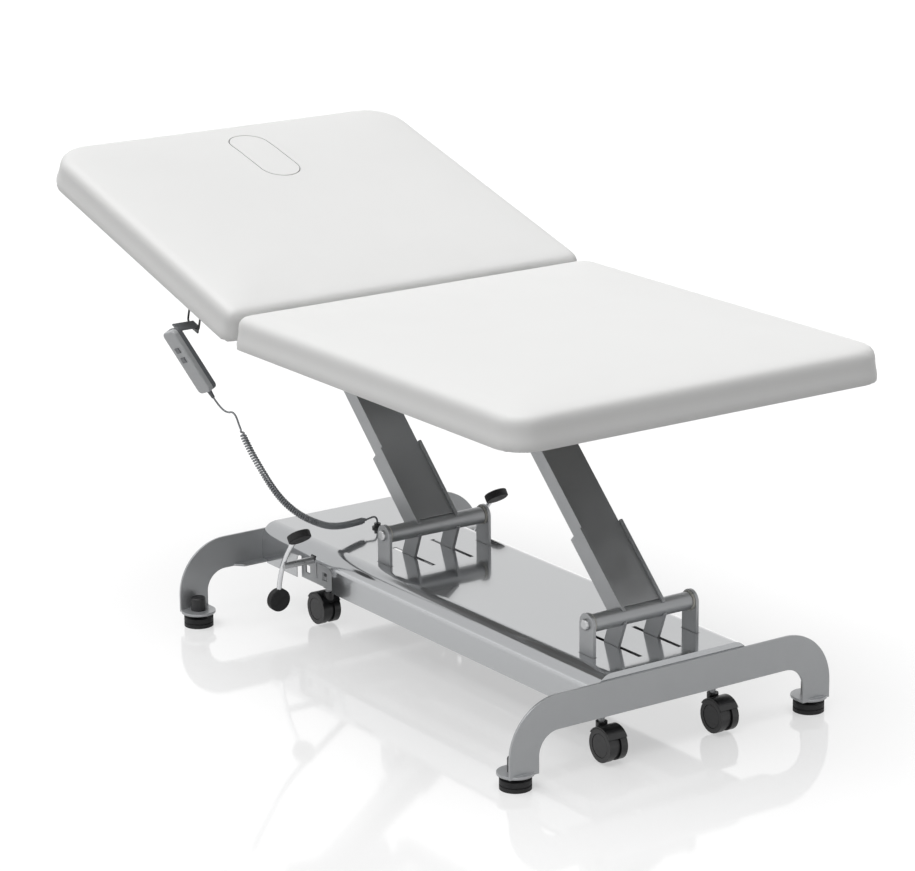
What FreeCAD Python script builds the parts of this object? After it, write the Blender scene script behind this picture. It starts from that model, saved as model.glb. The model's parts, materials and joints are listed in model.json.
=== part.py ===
import FreeCAD, Part
import math
import os

os.makedirs("parts", exist_ok=True)

V = FreeCAD.Vector
X_DIR = V(1, 0, 0)
Y_DIR = V(0, 1, 0)
Z_DIR = V(0, 0, 1)
SIDES = (-1, 1)

# Lift pivots, in millimetres; +X is the foot end, -Y the side with the handset.
PIVOT_Z = 283.6
PIVOT_REAR = -35.2
PIVOT_FRONT = 752.7
ARM_LONG = 627.0
ARM_LEAN = 43.5
ARM_BACK = ARM_LONG * math.cos(math.radians(ARM_LEAN))
TOP_PIVOT_Z = PIVOT_Z + ARM_LONG * math.sin(math.radians(ARM_LEAN))
TOP_REAR = PIVOT_REAR - ARM_BACK
TOP_FRONT = PIVOT_FRONT - ARM_BACK

# Top, carried above the upper pivots.
TOP_HALF = 500.0
SADDLE = 54.8
PAD_UNDER = round(TOP_PIVOT_Z + SADDLE, 1)
PAD_THICK = 82.0
EDGE_ROUND = 28.0
CROWN = 9.0
SEAT_LONG = 1095.0
BACK_LONG = 895.0
HINGE_GAP = 5.0
HINGE_DROP = 28.0
BACK_TILT = 16.2
FOOT_CORNER = 70.0
HINGE_CORNER = 26.0
HEAD_CORNER = 100.0
BOARD_THICK = 17.0
BOARD_INSET = 12.0
PLUG_LONG = 246.0
PLUG_WIDE = 104.0
PLUG_CENTRE = 684.0
PLUG_LEDGE = 15.0
ROLL_IN = 0.5
ROLL_UP = 9.0

HINGE_Z = PAD_UNDER + PAD_THICK - HINGE_DROP
TILT = math.radians(BACK_TILT)
SEAT_REACH = SEAT_LONG + HINGE_GAP
BACK_REACH = BACK_LONG + HINGE_GAP
BACK_LIFT = 0.5
BACK_DROP = HINGE_Z - PAD_UNDER - BACK_LIFT - ROLL_UP
HEAD_X = (BACK_REACH - ROLL_IN) * math.cos(TILT) + BACK_DROP * math.sin(TILT)
HINGE_X = (HEAD_X - SEAT_REACH) / 2.0
HINGE = V(HINGE_X, 0, HINGE_Z)

# Base.
LEG_FACE_FRONT = 879.0
LEG_FACE_REAR = -486.0
LEG_HALF = 436.0
LEG_THICK = 6.0
LEG_WIDE = 76.0
LEG_TOP = 199.0
LEG_BEAM = 79.0
LEG_OUTER_R = 126.0
LEG_INNER_R = 50.0
TAB_Z = 32.0
TAB_R = 41.0
LIP_WIDE = 20.0
LIP_HALF = LEG_HALF - 151.0
LIP_THICK = 5.0
FOOT_X_FRONT = 850.0
FOOT_X_REAR = -457.0
FOOT_IN = 35.0
FOOT_Y = LEG_HALF - FOOT_IN
COVER_TOP = 213.6
COVER_SHEET = 2.0
COVER_HALF = 205.0
COVER_R = 40.0
COVER_LOW = 118.0
RAIL_IN = 96.0
RAIL_OUT = 136.0
RAIL_LOW = 146.0

# Lift arms.
ARM_WIDE = 100.0
ARM_DEEP = 40.0
ARM_PLATE = 8.0
ARM_PLATE_LONG = 215.0
TUBE_R = 20.0
TUBE_HALF = 131.5
EAR_THICK = 8.0
EAR_R = 25.0
BOLT_R = 8.0
RUN = 0.06
OPEN_RUN = 0.35
LEVER_LONG = 130.0
LEVER_LEAN = 21.0
LEVER_PIN_R = 7.0

# Caster lift.
SHAFT_X = -250.0
FRONT_SHAFT_X = 838.0
SHAFT_Z = 180.0
SHAFT_R = 8.0
FORK_Y0 = 80.0
FORK_Y1 = 88.0
CRANK = 17.3
CRANK_ANGLE = 27.5
LINK_CRANK = 35.0
CASTER_REAR_X = -267.0
CASTER_FRONT_X = 819.0
CASTER_Y = 152.0
TRAIL_REAR = -20.0
TRAIL_FRONT = 25.0
WHEEL_R = 37.5
WHEEL_LIFT = 4.0
PEDAL_Y = 282.0
PEDAL_ROD_R = 6.0
PEDAL_PAD_R = 28.0
PEDAL_PAD_THICK = 18.0

# Handset and its cord.
LOOP_R = 2.5
HANDSET_TOP = V(-398.0, -485.0, PAD_UNDER - 20.0)
HANDSET_END = V(-349.0, -420.0, PAD_UNDER - 158.0)
HANDSET_LONG = 168.0
HANDSET_WIDE = 54.0
HANDSET_HALF = 12.5
CORD_R = 2.35
CURL_R = 6.1
CURL_PITCH = 6.55


def box(x0, x1, y0, y1, z0, z1):
    return Part.makeBox(x1 - x0, y1 - y0, z1 - z0, V(x0, y0, z0))


def sided(side, near, far):
    return (min(side * near, side * far), max(side * near, side * far))


def cyl(at, along, radius):
    return Part.makeCylinder(radius, along.Length, at, along)


def bar_y(x, z, y0, y1, radius):
    return cyl(V(x, y0, z), V(0, y1 - y0, 0), radius)


def bar_x(y, z, x0, x1, radius):
    return cyl(V(x0, y, z), V(x1 - x0, 0, 0), radius)


def bar_z(x, y, z0, z1, radius):
    return cyl(V(x, y, z0), V(0, 0, z1 - z0), radius)


def join(*solids):
    first = solids[0]
    return first.fuse(list(solids[1:])).removeSplitter()


def plate_xz(points, y0, y1):
    corners = [V(px, y0, pz) for px, pz in points]
    face = Part.Face(Part.makePolygon(corners + corners[:1]))
    return face.extrude(V(0, y1 - y0, 0))


def strip_xz(start, end, half, y0, y1):
    run = V(end[0] - start[0], 0, end[1] - start[1])
    off = V(-run.z, 0, run.x)
    off.normalize()
    off = off * half
    points = []
    for base, sign in ((start, 1), (end, 1), (end, -1), (start, -1)):
        points.append((base[0] + sign * off.x, base[1] + sign * off.z))
    return plate_xz(points, y0, y1)


def hollow(x0, x1, y0, y1, z0, z1, wall, axis):
    skin = box(x0, x1, y0, y1, z0, z1)
    if axis == "x":
        return skin.cut(box(x0, x1, y0 + wall, y1 - wall, z0 + wall, z1 - wall))
    return skin.cut(box(x0 + wall, x1 - wall, y0, y1, z0 + wall, z1 - wall))


def save(node, *solids):
    flat = []
    for item in solids:
        flat.extend(item.Solids)
    shape = flat[0] if len(flat) == 1 else Part.makeCompound(flat)
    if not shape.isValid():
        print("not valid:", node)
    shape.exportStep("parts/" + node + ".step")


def raised(shape):
    turned = shape.copy()
    turned.rotate(HINGE, Y_DIR, BACK_TILT)
    return turned


def plan_wire(x0, x1, half, r0, r1, inset, z):
    a = x0 + inset
    b = x1 - inset
    h = half - inset
    p = max(r0 - inset, 14.0)
    q = max(r1 - inset, 14.0)
    corners = (
        (b - q, -h + q, q, -45.0),
        (b - q, h - q, q, 45.0),
        (a + p, h - p, p, 135.0),
        (a + p, -h + p, p, 225.0),
    )
    arcs = []
    for cx, cy, r, middle in corners:
        spots = []
        for turn in (-45.0, 0.0, 45.0):
            angle = math.radians(middle + turn)
            spots.append(V(cx + r * math.cos(angle), cy + r * math.sin(angle), z))
        arcs.append(spots)
    edges = []
    for index, spots in enumerate(arcs):
        edges.append(Part.Arc(*spots).toShape())
        edges.append(Part.makeLine(spots[2], arcs[(index + 1) % 4][0]))
    return Part.Wire(edges)


def upholstered(x0, x1, r0, r1, z0, z1):
    shoulder = z1 - z0 - EDGE_ROUND
    rings = [(5.0, 0.0), (ROLL_IN, ROLL_UP), (2.8, shoulder * 0.55), (0.0, shoulder)]
    for turn in (30.0, 60.0, 90.0):
        angle = math.radians(turn)
        inset = EDGE_ROUND * (1.0 - math.cos(angle))
        rings.append((inset, shoulder + EDGE_ROUND * math.sin(angle)))
    for inset, share in ((85.0, 0.5), (170.0, 0.85), (280.0, 1.0)):
        rings.append((inset, z1 - z0 + CROWN * share))
    wires = [plan_wire(x0, x1, TOP_HALF, r0, r1, i, z0 + z) for i, z in rings]
    return Part.makeLoft(wires, True, True)


def prism(x0, x1, half, r0, r1, inset, z0, z1):
    wire = plan_wire(x0, x1, half, r0, r1, inset, z0)
    return Part.Face(wire).extrude(V(0, 0, z1 - z0))


def stadium(centre, long, wide, z0, z1):
    r = wide / 2.0
    run = long / 2.0 - r
    core = box(centre - run, centre + run, -r, r, z0, z1)
    return join(core, bar_z(centre - run, 0, z0, z1, r), bar_z(centre + run, 0, z0, z1, r))


# Hinge slots shared by both sections.
HINGE_Y = 330.0
HINGE_PLATE = 6.0
HINGE_NOSE = 10.0
HINGE_PIN_R = 4.0
HINGE_SIDE = 0.3


def hinge_pocket(direction):
    cuts = []
    for side in SIDES:
        y0, y1 = sided(side, HINGE_Y - 1.0, HINGE_Y + 2 * HINGE_PLATE + HINGE_SIDE + 1.0)
        x0, x1 = sorted((HINGE_X, HINGE_X + direction * 15.5))
        cuts.append(box(x0, x1, y0, y1, PAD_UNDER - 5, HINGE_Z))
        cuts.append(bar_y(HINGE_X, HINGE_Z, y0, y1, HINGE_NOSE + 2.5))
    return cuts


# Seat section.
SEAT_X0 = HINGE_X + HINGE_GAP
SEAT_X1 = SEAT_X0 + SEAT_LONG
PAD_TOP = PAD_UNDER + PAD_THICK
seat = upholstered(SEAT_X0, SEAT_X1, HINGE_CORNER, FOOT_CORNER, PAD_UNDER, PAD_TOP)
seat_pocket = prism(SEAT_X0, SEAT_X1, TOP_HALF, HINGE_CORNER, FOOT_CORNER, BOARD_INSET,
                    PAD_UNDER, PAD_UNDER + BOARD_THICK)
seat_board = prism(SEAT_X0, SEAT_X1, TOP_HALF, HINGE_CORNER, FOOT_CORNER, BOARD_INSET + 0.3,
                   PAD_UNDER, PAD_UNDER + BOARD_THICK)
seat = seat.cut([seat_pocket] + hinge_pocket(1))
seat_board = seat_board.cut(hinge_pocket(1))
save("seat_pad", seat)
save("seat_board", seat_board)

seat_plates = []
for side in SIDES:
    y0, y1 = sided(side, HINGE_Y, HINGE_Y + HINGE_PLATE)
    stem = box(HINGE_X - 3, HINGE_X + 14, y0, y1, PAD_UNDER - 28, HINGE_Z)
    nose = bar_y(HINGE_X, HINGE_Z, y0, y1, HINGE_NOSE)
    p0, p1 = sided(side, HINGE_Y, HINGE_Y + 2 * HINGE_PLATE + HINGE_SIDE)
    pin = bar_y(HINGE_X, HINGE_Z, p0, p1, HINGE_PIN_R)
    seat_plates.append(join(stem, nose, pin))
save("seat_hinge_plates", *seat_plates)

# Top frame.
RAIL_DEEP = 40.0
CROSS_DEEP = 30.0
FRAME_LOW = PAD_UNDER - RAIL_DEEP
CROSS_LOW = PAD_UNDER - CROSS_DEEP
FRAME_Y0 = 210.0
FRAME_Y1 = 250.0
FRAME_X0 = round(TOP_REAR - 50.0, 1)
FRAME_X1 = 790.0
CROSS = 30.0
OUTRIGGER = 345.0
side_rails = []
for side in SIDES:
    y0, y1 = sided(side, FRAME_Y0, FRAME_Y1)
    side_rails.append(hollow(FRAME_X0, FRAME_X1, y0, y1, FRAME_LOW, PAD_UNDER, 3, "x"))
save("top_side_rails", *side_rails)

GAS_Y = 115.0
GAS_DROP = 49.0
GAS_Z = PAD_UNDER - GAS_DROP
GAS_END = round(TOP_FRONT - 42.9, 1)
GAS_LONG = 195.0
GAS_X0 = GAS_END - GAS_LONG
GAS_PIN_R = 4.0
cross_tubes = []
for x0 in (TOP_REAR - CROSS / 2, GAS_END - CROSS / 2 - 5, TOP_FRONT - CROSS / 2, FRAME_X1 - CROSS):
    cross_tubes.append(hollow(x0, x0 + CROSS, -FRAME_Y0, FRAME_Y0, CROSS_LOW, PAD_UNDER, 3, "y"))
for x0 in (HINGE_X + 14, TOP_FRONT - CROSS / 2, FRAME_X1 - CROSS):
    for side in SIDES:
        y0, y1 = sided(side, FRAME_Y1, OUTRIGGER)
        cross_tubes.append(hollow(x0, x0 + CROSS, y0, y1, CROSS_LOW, PAD_UNDER, 3, "y"))
gas_pin = bar_y(GAS_END, GAS_Z, GAS_Y - 14, GAS_Y + 14, GAS_PIN_R)
for y0 in (GAS_Y - 14, GAS_Y + 10):
    cheek = box(GAS_END - 12, GAS_END + 10, y0, y0 + 4, GAS_Z - 13, CROSS_LOW)
    cross_tubes.append(cheek.cut(gas_pin))
cross_tubes.append(gas_pin)
save("top_cross_tubes", *cross_tubes)

gas_tube = bar_x(GAS_Y, GAS_Z, GAS_X0, GAS_END - 14, 14)
gas_lug = box(GAS_END - 30, GAS_END + 8, GAS_Y - 10, GAS_Y + 10, GAS_Z - 9, GAS_Z + 9)
gas_tube = join(gas_tube, gas_lug)
gas_tube = gas_tube.cut(bar_x(GAS_Y, GAS_Z, GAS_X0, GAS_END - 35, 5 + RUN))
gas_tube = gas_tube.cut(bar_y(GAS_END, GAS_Z, GAS_Y - 15, GAS_Y + 15, GAS_PIN_R + 0.05))
save("gas_cylinder", gas_tube)


def ear(x, z, side, z_end):
    y0, y1 = sided(side, RAIL_OUT, RAIL_OUT + EAR_THICK)
    z0, z1 = sorted((z, z_end))
    plate = join(box(x - EAR_R, x + EAR_R, y0, y1, z0, z1), bar_y(x, z, y0, y1, EAR_R))
    return plate.cut(bar_y(x, z, y0, y1, BOLT_R + 0.05))


def pivot_bolt(x, z, side):
    out = RAIL_OUT + EAR_THICK
    y0, y1 = sided(side, RAIL_OUT - 40, out)
    shank = bar_y(x, z, y0, y1, BOLT_R)
    h0, h1 = sided(side, out, out + 8)
    head = bar_y(x, z, h0, h1, 13)
    rim = [e for e in head.Edges if abs(e.CenterOfMass.y - side * (out + 8)) < 0.01]
    head = head.makeFillet(5.0, rim[:1])
    return join(head, shank)


def nylon_ring(x, z, side):
    y0, y1 = sided(side, TUBE_HALF + 0.2, RAIL_OUT)
    return bar_y(x, z, y0, y1, TUBE_R + 2.5).cut(bar_y(x, z, y0, y1, BOLT_R + 0.05))


save("top_ears", *[ear(x, TOP_PIVOT_Z, s, CROSS_LOW) for x in (TOP_REAR, TOP_FRONT) for s in SIDES])
save("top_pivot_bolts", *[pivot_bolt(x, TOP_PIVOT_Z, s) for x in (TOP_REAR, TOP_FRONT) for s in SIDES])
LOW_PIVOTS = (PIVOT_REAR, PIVOT_FRONT)
save("pivot_ears", *[ear(x, PIVOT_Z, s, 150.0) for x in LOW_PIVOTS for s in SIDES])
save("pivot_bolts", *[pivot_bolt(x, PIVOT_Z, s) for x in LOW_PIVOTS for s in SIDES])
save("pivot_rings", *[nylon_ring(x, PIVOT_Z, s) for x in LOW_PIVOTS for s in SIDES])

# Backrest section, built flat and then raised about the hinge.
BACK_X1 = HINGE_X - HINGE_GAP
BACK_X0 = BACK_X1 - BACK_LONG
BACK_UNDER = PAD_UNDER + BACK_LIFT
PLUG_X = BACK_X1 - PLUG_CENTRE
back_solid = upholstered(BACK_X0, BACK_X1, HEAD_CORNER, HINGE_CORNER, BACK_UNDER, PAD_TOP)
back_pocket = prism(BACK_X0, BACK_X1, TOP_HALF, HEAD_CORNER, HINGE_CORNER, BOARD_INSET,
                    BACK_UNDER, BACK_UNDER + BOARD_THICK)
back_board = prism(BACK_X0, BACK_X1, TOP_HALF, HEAD_CORNER, HINGE_CORNER, BOARD_INSET + 0.3,
                   BACK_UNDER, BACK_UNDER + BOARD_THICK)
slot = stadium(PLUG_X, PLUG_LONG, PLUG_WIDE, BACK_UNDER, PAD_TOP + 40)
back_pad = back_solid.cut([back_pocket, slot] + hinge_pocket(-1))
ledge = stadium(PLUG_X, PLUG_LONG - 2 * PLUG_LEDGE, PLUG_WIDE - 2 * PLUG_LEDGE,
                BACK_UNDER, BACK_UNDER + BOARD_THICK)
back_board = back_board.cut([ledge] + hinge_pocket(-1))
plug = stadium(PLUG_X, PLUG_LONG - 1.2, PLUG_WIDE - 1.2, BACK_UNDER + BOARD_THICK, PAD_TOP + 40)
plug = back_solid.common(plug)
save("backrest_pad", raised(back_pad))
save("backrest_board", raised(back_board))
save("face_plug", raised(plug))

BAR_Y0 = HINGE_Y + 2 * HINGE_PLATE + HINGE_SIDE
BAR_Y1 = BAR_Y0 + 30.0
BAR_LOW = BACK_UNDER - 25.0
back_frame = []
for side in SIDES:
    y0, y1 = sided(side, BAR_Y0, BAR_Y1)
    back_frame.append(hollow(BACK_X0 + 40, BACK_X1 - 10, y0, y1, BAR_LOW, BACK_UNDER, 2.5, "x"))
    p0, p1 = sided(side, HINGE_Y + HINGE_PLATE + HINGE_SIDE, BAR_Y0)
    stem = box(HINGE_X - 14, HINGE_X + 3, p0, p1, BAR_LOW, HINGE_Z)
    foot = box(HINGE_X - 90, HINGE_X - 14, p0, p1, BAR_LOW, BACK_UNDER)
    nose = bar_y(HINGE_X, HINGE_Z, p0, p1, HINGE_NOSE)
    leaf = join(stem, foot, nose)
    back_frame.append(leaf.cut(bar_y(HINGE_X, HINGE_Z, p0, p1, HINGE_PIN_R + RUN)))
for x0 in (HINGE_X - 520, BACK_X0 + 45):
    back_frame.append(hollow(x0, x0 + 30, -BAR_Y0, BAR_Y0, BAR_LOW, BACK_UNDER, 2.5, "y"))

GAS_ARM = 110.0
GAS_FLAT = math.radians(30.0)
GAS_REST = math.radians(30.0 - BACK_TILT)
flat_pin = (HINGE_X + GAS_ARM * math.sin(GAS_FLAT), HINGE_Z - GAS_ARM * math.cos(GAS_FLAT))
pad_plate = box(HINGE_X - 140, HINGE_X - 40, GAS_Y - 25, GAS_Y + 25, BACK_UNDER - 4, BACK_UNDER)
back_frame.append(pad_plate)
for y0 in (GAS_Y - 17, GAS_Y + 11):
    arm = strip_xz((HINGE_X - 90, BACK_UNDER - 8), flat_pin, 13, y0, y0 + 6)
    root = box(HINGE_X - 130, HINGE_X - 50, y0, y0 + 6, BACK_UNDER - 24, BACK_UNDER - 4)
    eye = bar_y(flat_pin[0], flat_pin[1], y0, y0 + 6, 13)
    cheek = join(arm, root, eye)
    cheek = cheek.cut(box(HINGE_X - 160, HINGE_X + 20, y0, y0 + 6, BACK_UNDER - 4, BACK_UNDER + 30))
    cheek = cheek.cut(bar_y(flat_pin[0], flat_pin[1], y0, y0 + 6, 5.05))
    back_frame.append(cheek)
back_frame.append(bar_y(flat_pin[0], flat_pin[1], GAS_Y - 19, GAS_Y + 19, 5))

RELEASE_X = HINGE_X - 800.0
RELEASE_Y = 392.0
post = bar_z(RELEASE_X, RELEASE_Y, BACK_UNDER - 22, BACK_UNDER, 8)
foot_ring = bar_z(RELEASE_X, RELEASE_Y, BACK_UNDER - 26, BACK_UNDER - 22, 13)
back_frame.append(join(post, foot_ring))
save("backrest_frame", *[raised(s) for s in back_frame])

RELEASE_LOW = BACK_UNDER - 16
RELEASE_TOP = BACK_UNDER - 10
handle = box(RELEASE_X - 9, RELEASE_X + 9, RELEASE_Y, RELEASE_Y + 78, RELEASE_LOW, RELEASE_TOP)
hub = bar_z(RELEASE_X, RELEASE_Y, RELEASE_LOW, RELEASE_TOP, 14)
grip = bar_z(RELEASE_X, RELEASE_Y + 78, RELEASE_LOW, RELEASE_TOP, 9)
lever = join(handle, hub, grip)
lever = lever.cut(bar_z(RELEASE_X, RELEASE_Y, RELEASE_LOW, RELEASE_TOP, 8 + RUN))
save("release_lever", raised(lever))

# Gas rod with a slotted end, at rest.
rest_pin = (HINGE_X + GAS_ARM * math.sin(GAS_REST), HINGE_Z - GAS_ARM * math.cos(GAS_REST))
rod_end = box(rest_pin[0] - 14, rest_pin[0] + 14, GAS_Y - 10.5, GAS_Y + 10.5, GAS_Z - 26, GAS_Z + 26)
rod_end = rod_end.cut(box(rest_pin[0] - 7.4, rest_pin[0] + 7.4, GAS_Y - 11, GAS_Y + 11,
                          GAS_Z - 15, GAS_Z + 16))
gas_rod = join(rod_end, bar_x(GAS_Y, GAS_Z, rest_pin[0] + 14, GAS_END - 80.0, 5))
save("gas_rod", gas_rod)


# Lift arms: tube, two cross tubes and a pair of lever plates each.
def lean(shape, x):
    turned = shape.copy()
    turned.rotate(V(0, 0, 0), Y_DIR, ARM_LEAN - 180.0)
    turned.translate(V(x, 0, PIVOT_Z))
    return turned


def lift_arm(x, top_run):
    half = ARM_WIDE / 2.0
    deep = ARM_DEEP / 2.0
    tube = box(12, ARM_LONG - 12, -half, half, -deep, deep)
    tube = tube.cut(box(12, ARM_LONG - 12, 4 - half, half - 4, 4 - deep, deep - 4))
    low = bar_y(0, 0, -TUBE_HALF, TUBE_HALF, TUBE_R)
    high = bar_y(ARM_LONG, 0, -TUBE_HALF - 4, TUBE_HALF + 4, TUBE_R)
    tube = tube.cut([low, high])
    low = low.cut(bar_y(0, 0, -TUBE_HALF, TUBE_HALF, BOLT_R + RUN))
    high = high.cut(bar_y(ARM_LONG, 0, -TUBE_HALF - 4, TUBE_HALF + 4, BOLT_R + top_run))
    return [lean(s, x) for s in (tube, low, high)]


def lever_pin(x):
    angle = math.radians(LEVER_LEAN)
    return (x - LEVER_LONG * math.sin(angle), PIVOT_Z - LEVER_LONG * math.cos(angle))


def arm_plates(x):
    pin = lever_pin(x)
    angle = math.radians(ARM_LEAN)
    top = (x - ARM_PLATE_LONG * math.cos(angle), PIVOT_Z + ARM_PLATE_LONG * math.sin(angle))
    spine = bar_y(pin[0], pin[1], -58.5, 58.5, LEVER_PIN_R)
    plates = [spine]
    for side in SIDES:
        y0, y1 = sided(side, ARM_WIDE / 2, ARM_WIDE / 2 + ARM_PLATE)
        plate = join(
            strip_xz((x, PIVOT_Z), top, 25, y0, y1),
            strip_xz((x, PIVOT_Z), pin, 24, y0, y1),
            bar_y(pin[0], pin[1], y0, y1, 24),
        )
        plate = plate.cut(bar_y(x, PIVOT_Z, y0, y1, TUBE_R + 0.05))
        plates.append(plate.cut(bar_y(pin[0], pin[1], y0, y1, LEVER_PIN_R + 0.05)))
    return plates


save("rear_arm", *lift_arm(PIVOT_REAR, RUN))
save("front_arm", *lift_arm(PIVOT_FRONT, OPEN_RUN))
save("rear_arm_plates", *arm_plates(PIVOT_REAR))
save("front_arm_plates", *arm_plates(PIVOT_FRONT))

REAR_PIN = lever_pin(PIVOT_REAR)
FRONT_PIN = lever_pin(PIVOT_FRONT)
TIE_Y0 = -43.0
TIE_Y1 = -33.0
tie = join(
    box(REAR_PIN[0], FRONT_PIN[0], TIE_Y0, TIE_Y1, REAR_PIN[1] - 14, REAR_PIN[1] + 14),
    bar_y(REAR_PIN[0], REAR_PIN[1], TIE_Y0, TIE_Y1, 17),
    bar_y(FRONT_PIN[0], FRONT_PIN[1], TIE_Y0, TIE_Y1, 17),
)
tie = tie.cut(bar_y(REAR_PIN[0], REAR_PIN[1], TIE_Y0, TIE_Y1, LEVER_PIN_R + RUN))
tie = tie.cut(bar_y(FRONT_PIN[0], FRONT_PIN[1], TIE_Y0, TIE_Y1, LEVER_PIN_R + OPEN_RUN))
save("tie_rod", tie)

# Lift actuator under the cover.
ACT_Y = -6.0
ACT_Z = REAR_PIN[1]
ACT_X0 = 45.0
GEAR_X0 = 345.0
GEAR_X1 = 430.0
ACT_EYE = 470.0
housing = join(
    bar_x(ACT_Y, ACT_Z, ACT_X0, GEAR_X0, 20),
    box(GEAR_X0, GEAR_X1, ACT_Y - 22, 60, ACT_Z - 22, ACT_Z + 21),
    box(GEAR_X1, ACT_EYE + 12, ACT_Y - 13, ACT_Y + 13, ACT_Z - 12, ACT_Z + 12),
)
housing = housing.cut(bar_x(ACT_Y, ACT_Z, ACT_X0, GEAR_X0, 12 + RUN))
housing = housing.cut(bar_y(ACT_EYE, ACT_Z, ACT_Y - 14, ACT_Y + 14, 6.05))
save("actuator_body", housing)
save("actuator_motor", bar_x(38, ACT_Z, 205, GEAR_X0, 21.5))
fork = box(REAR_PIN[0] - 25, REAR_PIN[0] + 25, ACT_Y - 12, ACT_Y + 12, ACT_Z - 30, ACT_Z + 30)
fork = fork.cut(box(REAR_PIN[0] - 10.5, REAR_PIN[0] + 10.5, ACT_Y - 13, ACT_Y + 13,
                    ACT_Z - 18, ACT_Z + 18))
save("actuator_rod", join(fork, bar_x(ACT_Y, ACT_Z, REAR_PIN[0] + 25, 240, 12)))
save("control_box", box(530, 650, -26, 56, 134, 180))

# Base frame.
HALF_ROOT = math.sqrt(0.5)


def leg_profile(x):
    low = LEG_TOP - LEG_BEAM
    inner = LEG_HALF - LEG_WIDE
    out_c = (LEG_HALF - LEG_OUTER_R, LEG_TOP - LEG_OUTER_R)
    in_c = (inner - LEG_INNER_R, low - LEG_INNER_R)
    out_mid = (out_c[0] + LEG_OUTER_R * HALF_ROOT, out_c[1] + LEG_OUTER_R * HALF_ROOT)
    in_mid = (in_c[0] + LEG_INNER_R * HALF_ROOT, in_c[1] + LEG_INNER_R * HALF_ROOT)

    def at(y, z):
        return V(x, y, z)

    edges = []
    for s in SIDES:
        edges.append(Part.makeLine(at(s * LEG_HALF, TAB_Z), at(s * LEG_HALF, out_c[1])))
        edges.append(Part.Arc(at(s * LEG_HALF, out_c[1]), at(s * out_mid[0], out_mid[1]),
                              at(s * out_c[0], LEG_TOP)).toShape())
        edges.append(Part.makeLine(at(s * LEG_HALF, TAB_Z), at(s * inner, TAB_Z)))
        edges.append(Part.makeLine(at(s * inner, TAB_Z), at(s * inner, in_c[1])))
        edges.append(Part.Arc(at(s * inner, in_c[1]), at(s * in_mid[0], in_mid[1]),
                              at(s * in_c[0], low)).toShape())
    edges.append(Part.makeLine(at(-out_c[0], LEG_TOP), at(out_c[0], LEG_TOP)))
    edges.append(Part.makeLine(at(-in_c[0], low), at(in_c[0], low)))
    return Part.Face(Part.Wire(Part.__sortEdges__(edges)))


def leg_plate(face_x, inward, foot_x):
    low = LEG_TOP - LEG_BEAM
    plate = leg_profile(face_x).extrude(V(inward * LEG_THICK, 0, 0))
    root = face_x + inward * LEG_THICK
    tip = root + inward * LIP_WIDE
    chamfer = 18.0
    corners = [V(root, -LIP_HALF, low), V(tip, chamfer - LIP_HALF, low),
               V(tip, LIP_HALF - chamfer, low), V(root, LIP_HALF, low)]
    lip = Part.Face(Part.makePolygon(corners + corners[:1])).extrude(V(0, 0, LIP_THICK))
    pieces = [plate, lip]
    for side in SIDES:
        y0, y1 = sided(side, LEG_HALF - LEG_WIDE, LEG_HALF)
        x0, x1 = sorted((root, foot_x))
        pieces.append(box(x0, x1, y0, y1, TAB_Z, TAB_Z + LEG_THICK))
        pieces.append(bar_z(foot_x, side * FOOT_Y, TAB_Z, TAB_Z + LEG_THICK, TAB_R))
    whole = join(*pieces)
    holes = [bar_z(foot_x, s * FOOT_Y, TAB_Z - 1, TAB_Z + LEG_THICK + 1, 6.06) for s in SIDES]
    for side in SIDES:
        y0, y1 = sided(side, FORK_Y0 - 3, FORK_Y1 + 3)
        x0, x1 = sorted((root, tip))
        holes.append(box(x0, x1, y0, y1, low - 1, low + LIP_THICK + 1))
    return whole.cut(holes)


save("front_leg_plate", leg_plate(LEG_FACE_FRONT, -1, FOOT_X_FRONT))
save("rear_leg_plate", leg_plate(LEG_FACE_REAR, 1, FOOT_X_REAR))

FEET = (
    ("front_near", FOOT_X_FRONT, -FOOT_Y),
    ("front_far", FOOT_X_FRONT, FOOT_Y),
    ("rear_near", FOOT_X_REAR, -FOOT_Y),
    ("rear_far", FOOT_X_REAR, FOOT_Y),
)
caps = []
for name, x, y in FEET:
    foot = join(
        bar_z(x, y, 0, 9, 35),
        bar_z(x, y, 9, 12, 33),
        bar_z(x, y, 12, 23, 35),
        bar_z(x, y, 23, TAB_Z, 16),
        bar_z(x, y, TAB_Z, 60, 6),
    )
    save("levelling_foot_" + name, foot)
    cap = bar_z(x, y, TAB_Z + LEG_THICK, 70, 18)
    rim = [e for e in cap.Edges if abs(e.CenterOfMass.z - 70) < 0.01]
    cap = cap.makeFillet(4.0, rim[:1])
    caps.append(cap.cut(bar_z(x, y, TAB_Z + LEG_THICK, 62, 6.5)))
save("foot_caps", *caps)

COVER_X0 = LEG_FACE_REAR + LEG_THICK
COVER_X1 = LEG_FACE_FRONT - LEG_THICK
COVER_UNDER = COVER_TOP - COVER_SHEET
INNER_X0 = COVER_X0 + COVER_SHEET
INNER_X1 = COVER_X1 - COVER_SHEET
SHAFTS = (SHAFT_X, FRONT_SHAFT_X)
BEAMS = (CASTER_REAR_X, CASTER_FRONT_X)
PIN_Y = 116.0
rails = []
for side in SIDES:
    y0, y1 = sided(side, RAIL_IN, RAIL_OUT)
    rail = hollow(INNER_X0, INNER_X1, y0, y1, RAIL_LOW, COVER_UNDER, 3, "x")
    rail = rail.cut([bar_y(x, SHAFT_Z, y0 - 1, y1 + 1, SHAFT_R + RUN) for x in SHAFTS])
    rail = rail.cut([bar_z(x, side * PIN_Y, RAIL_LOW - 1, RAIL_LOW + 4, 6 + RUN) for x in BEAMS])
    rails.append(rail)
save("base_rails", *rails)

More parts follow.
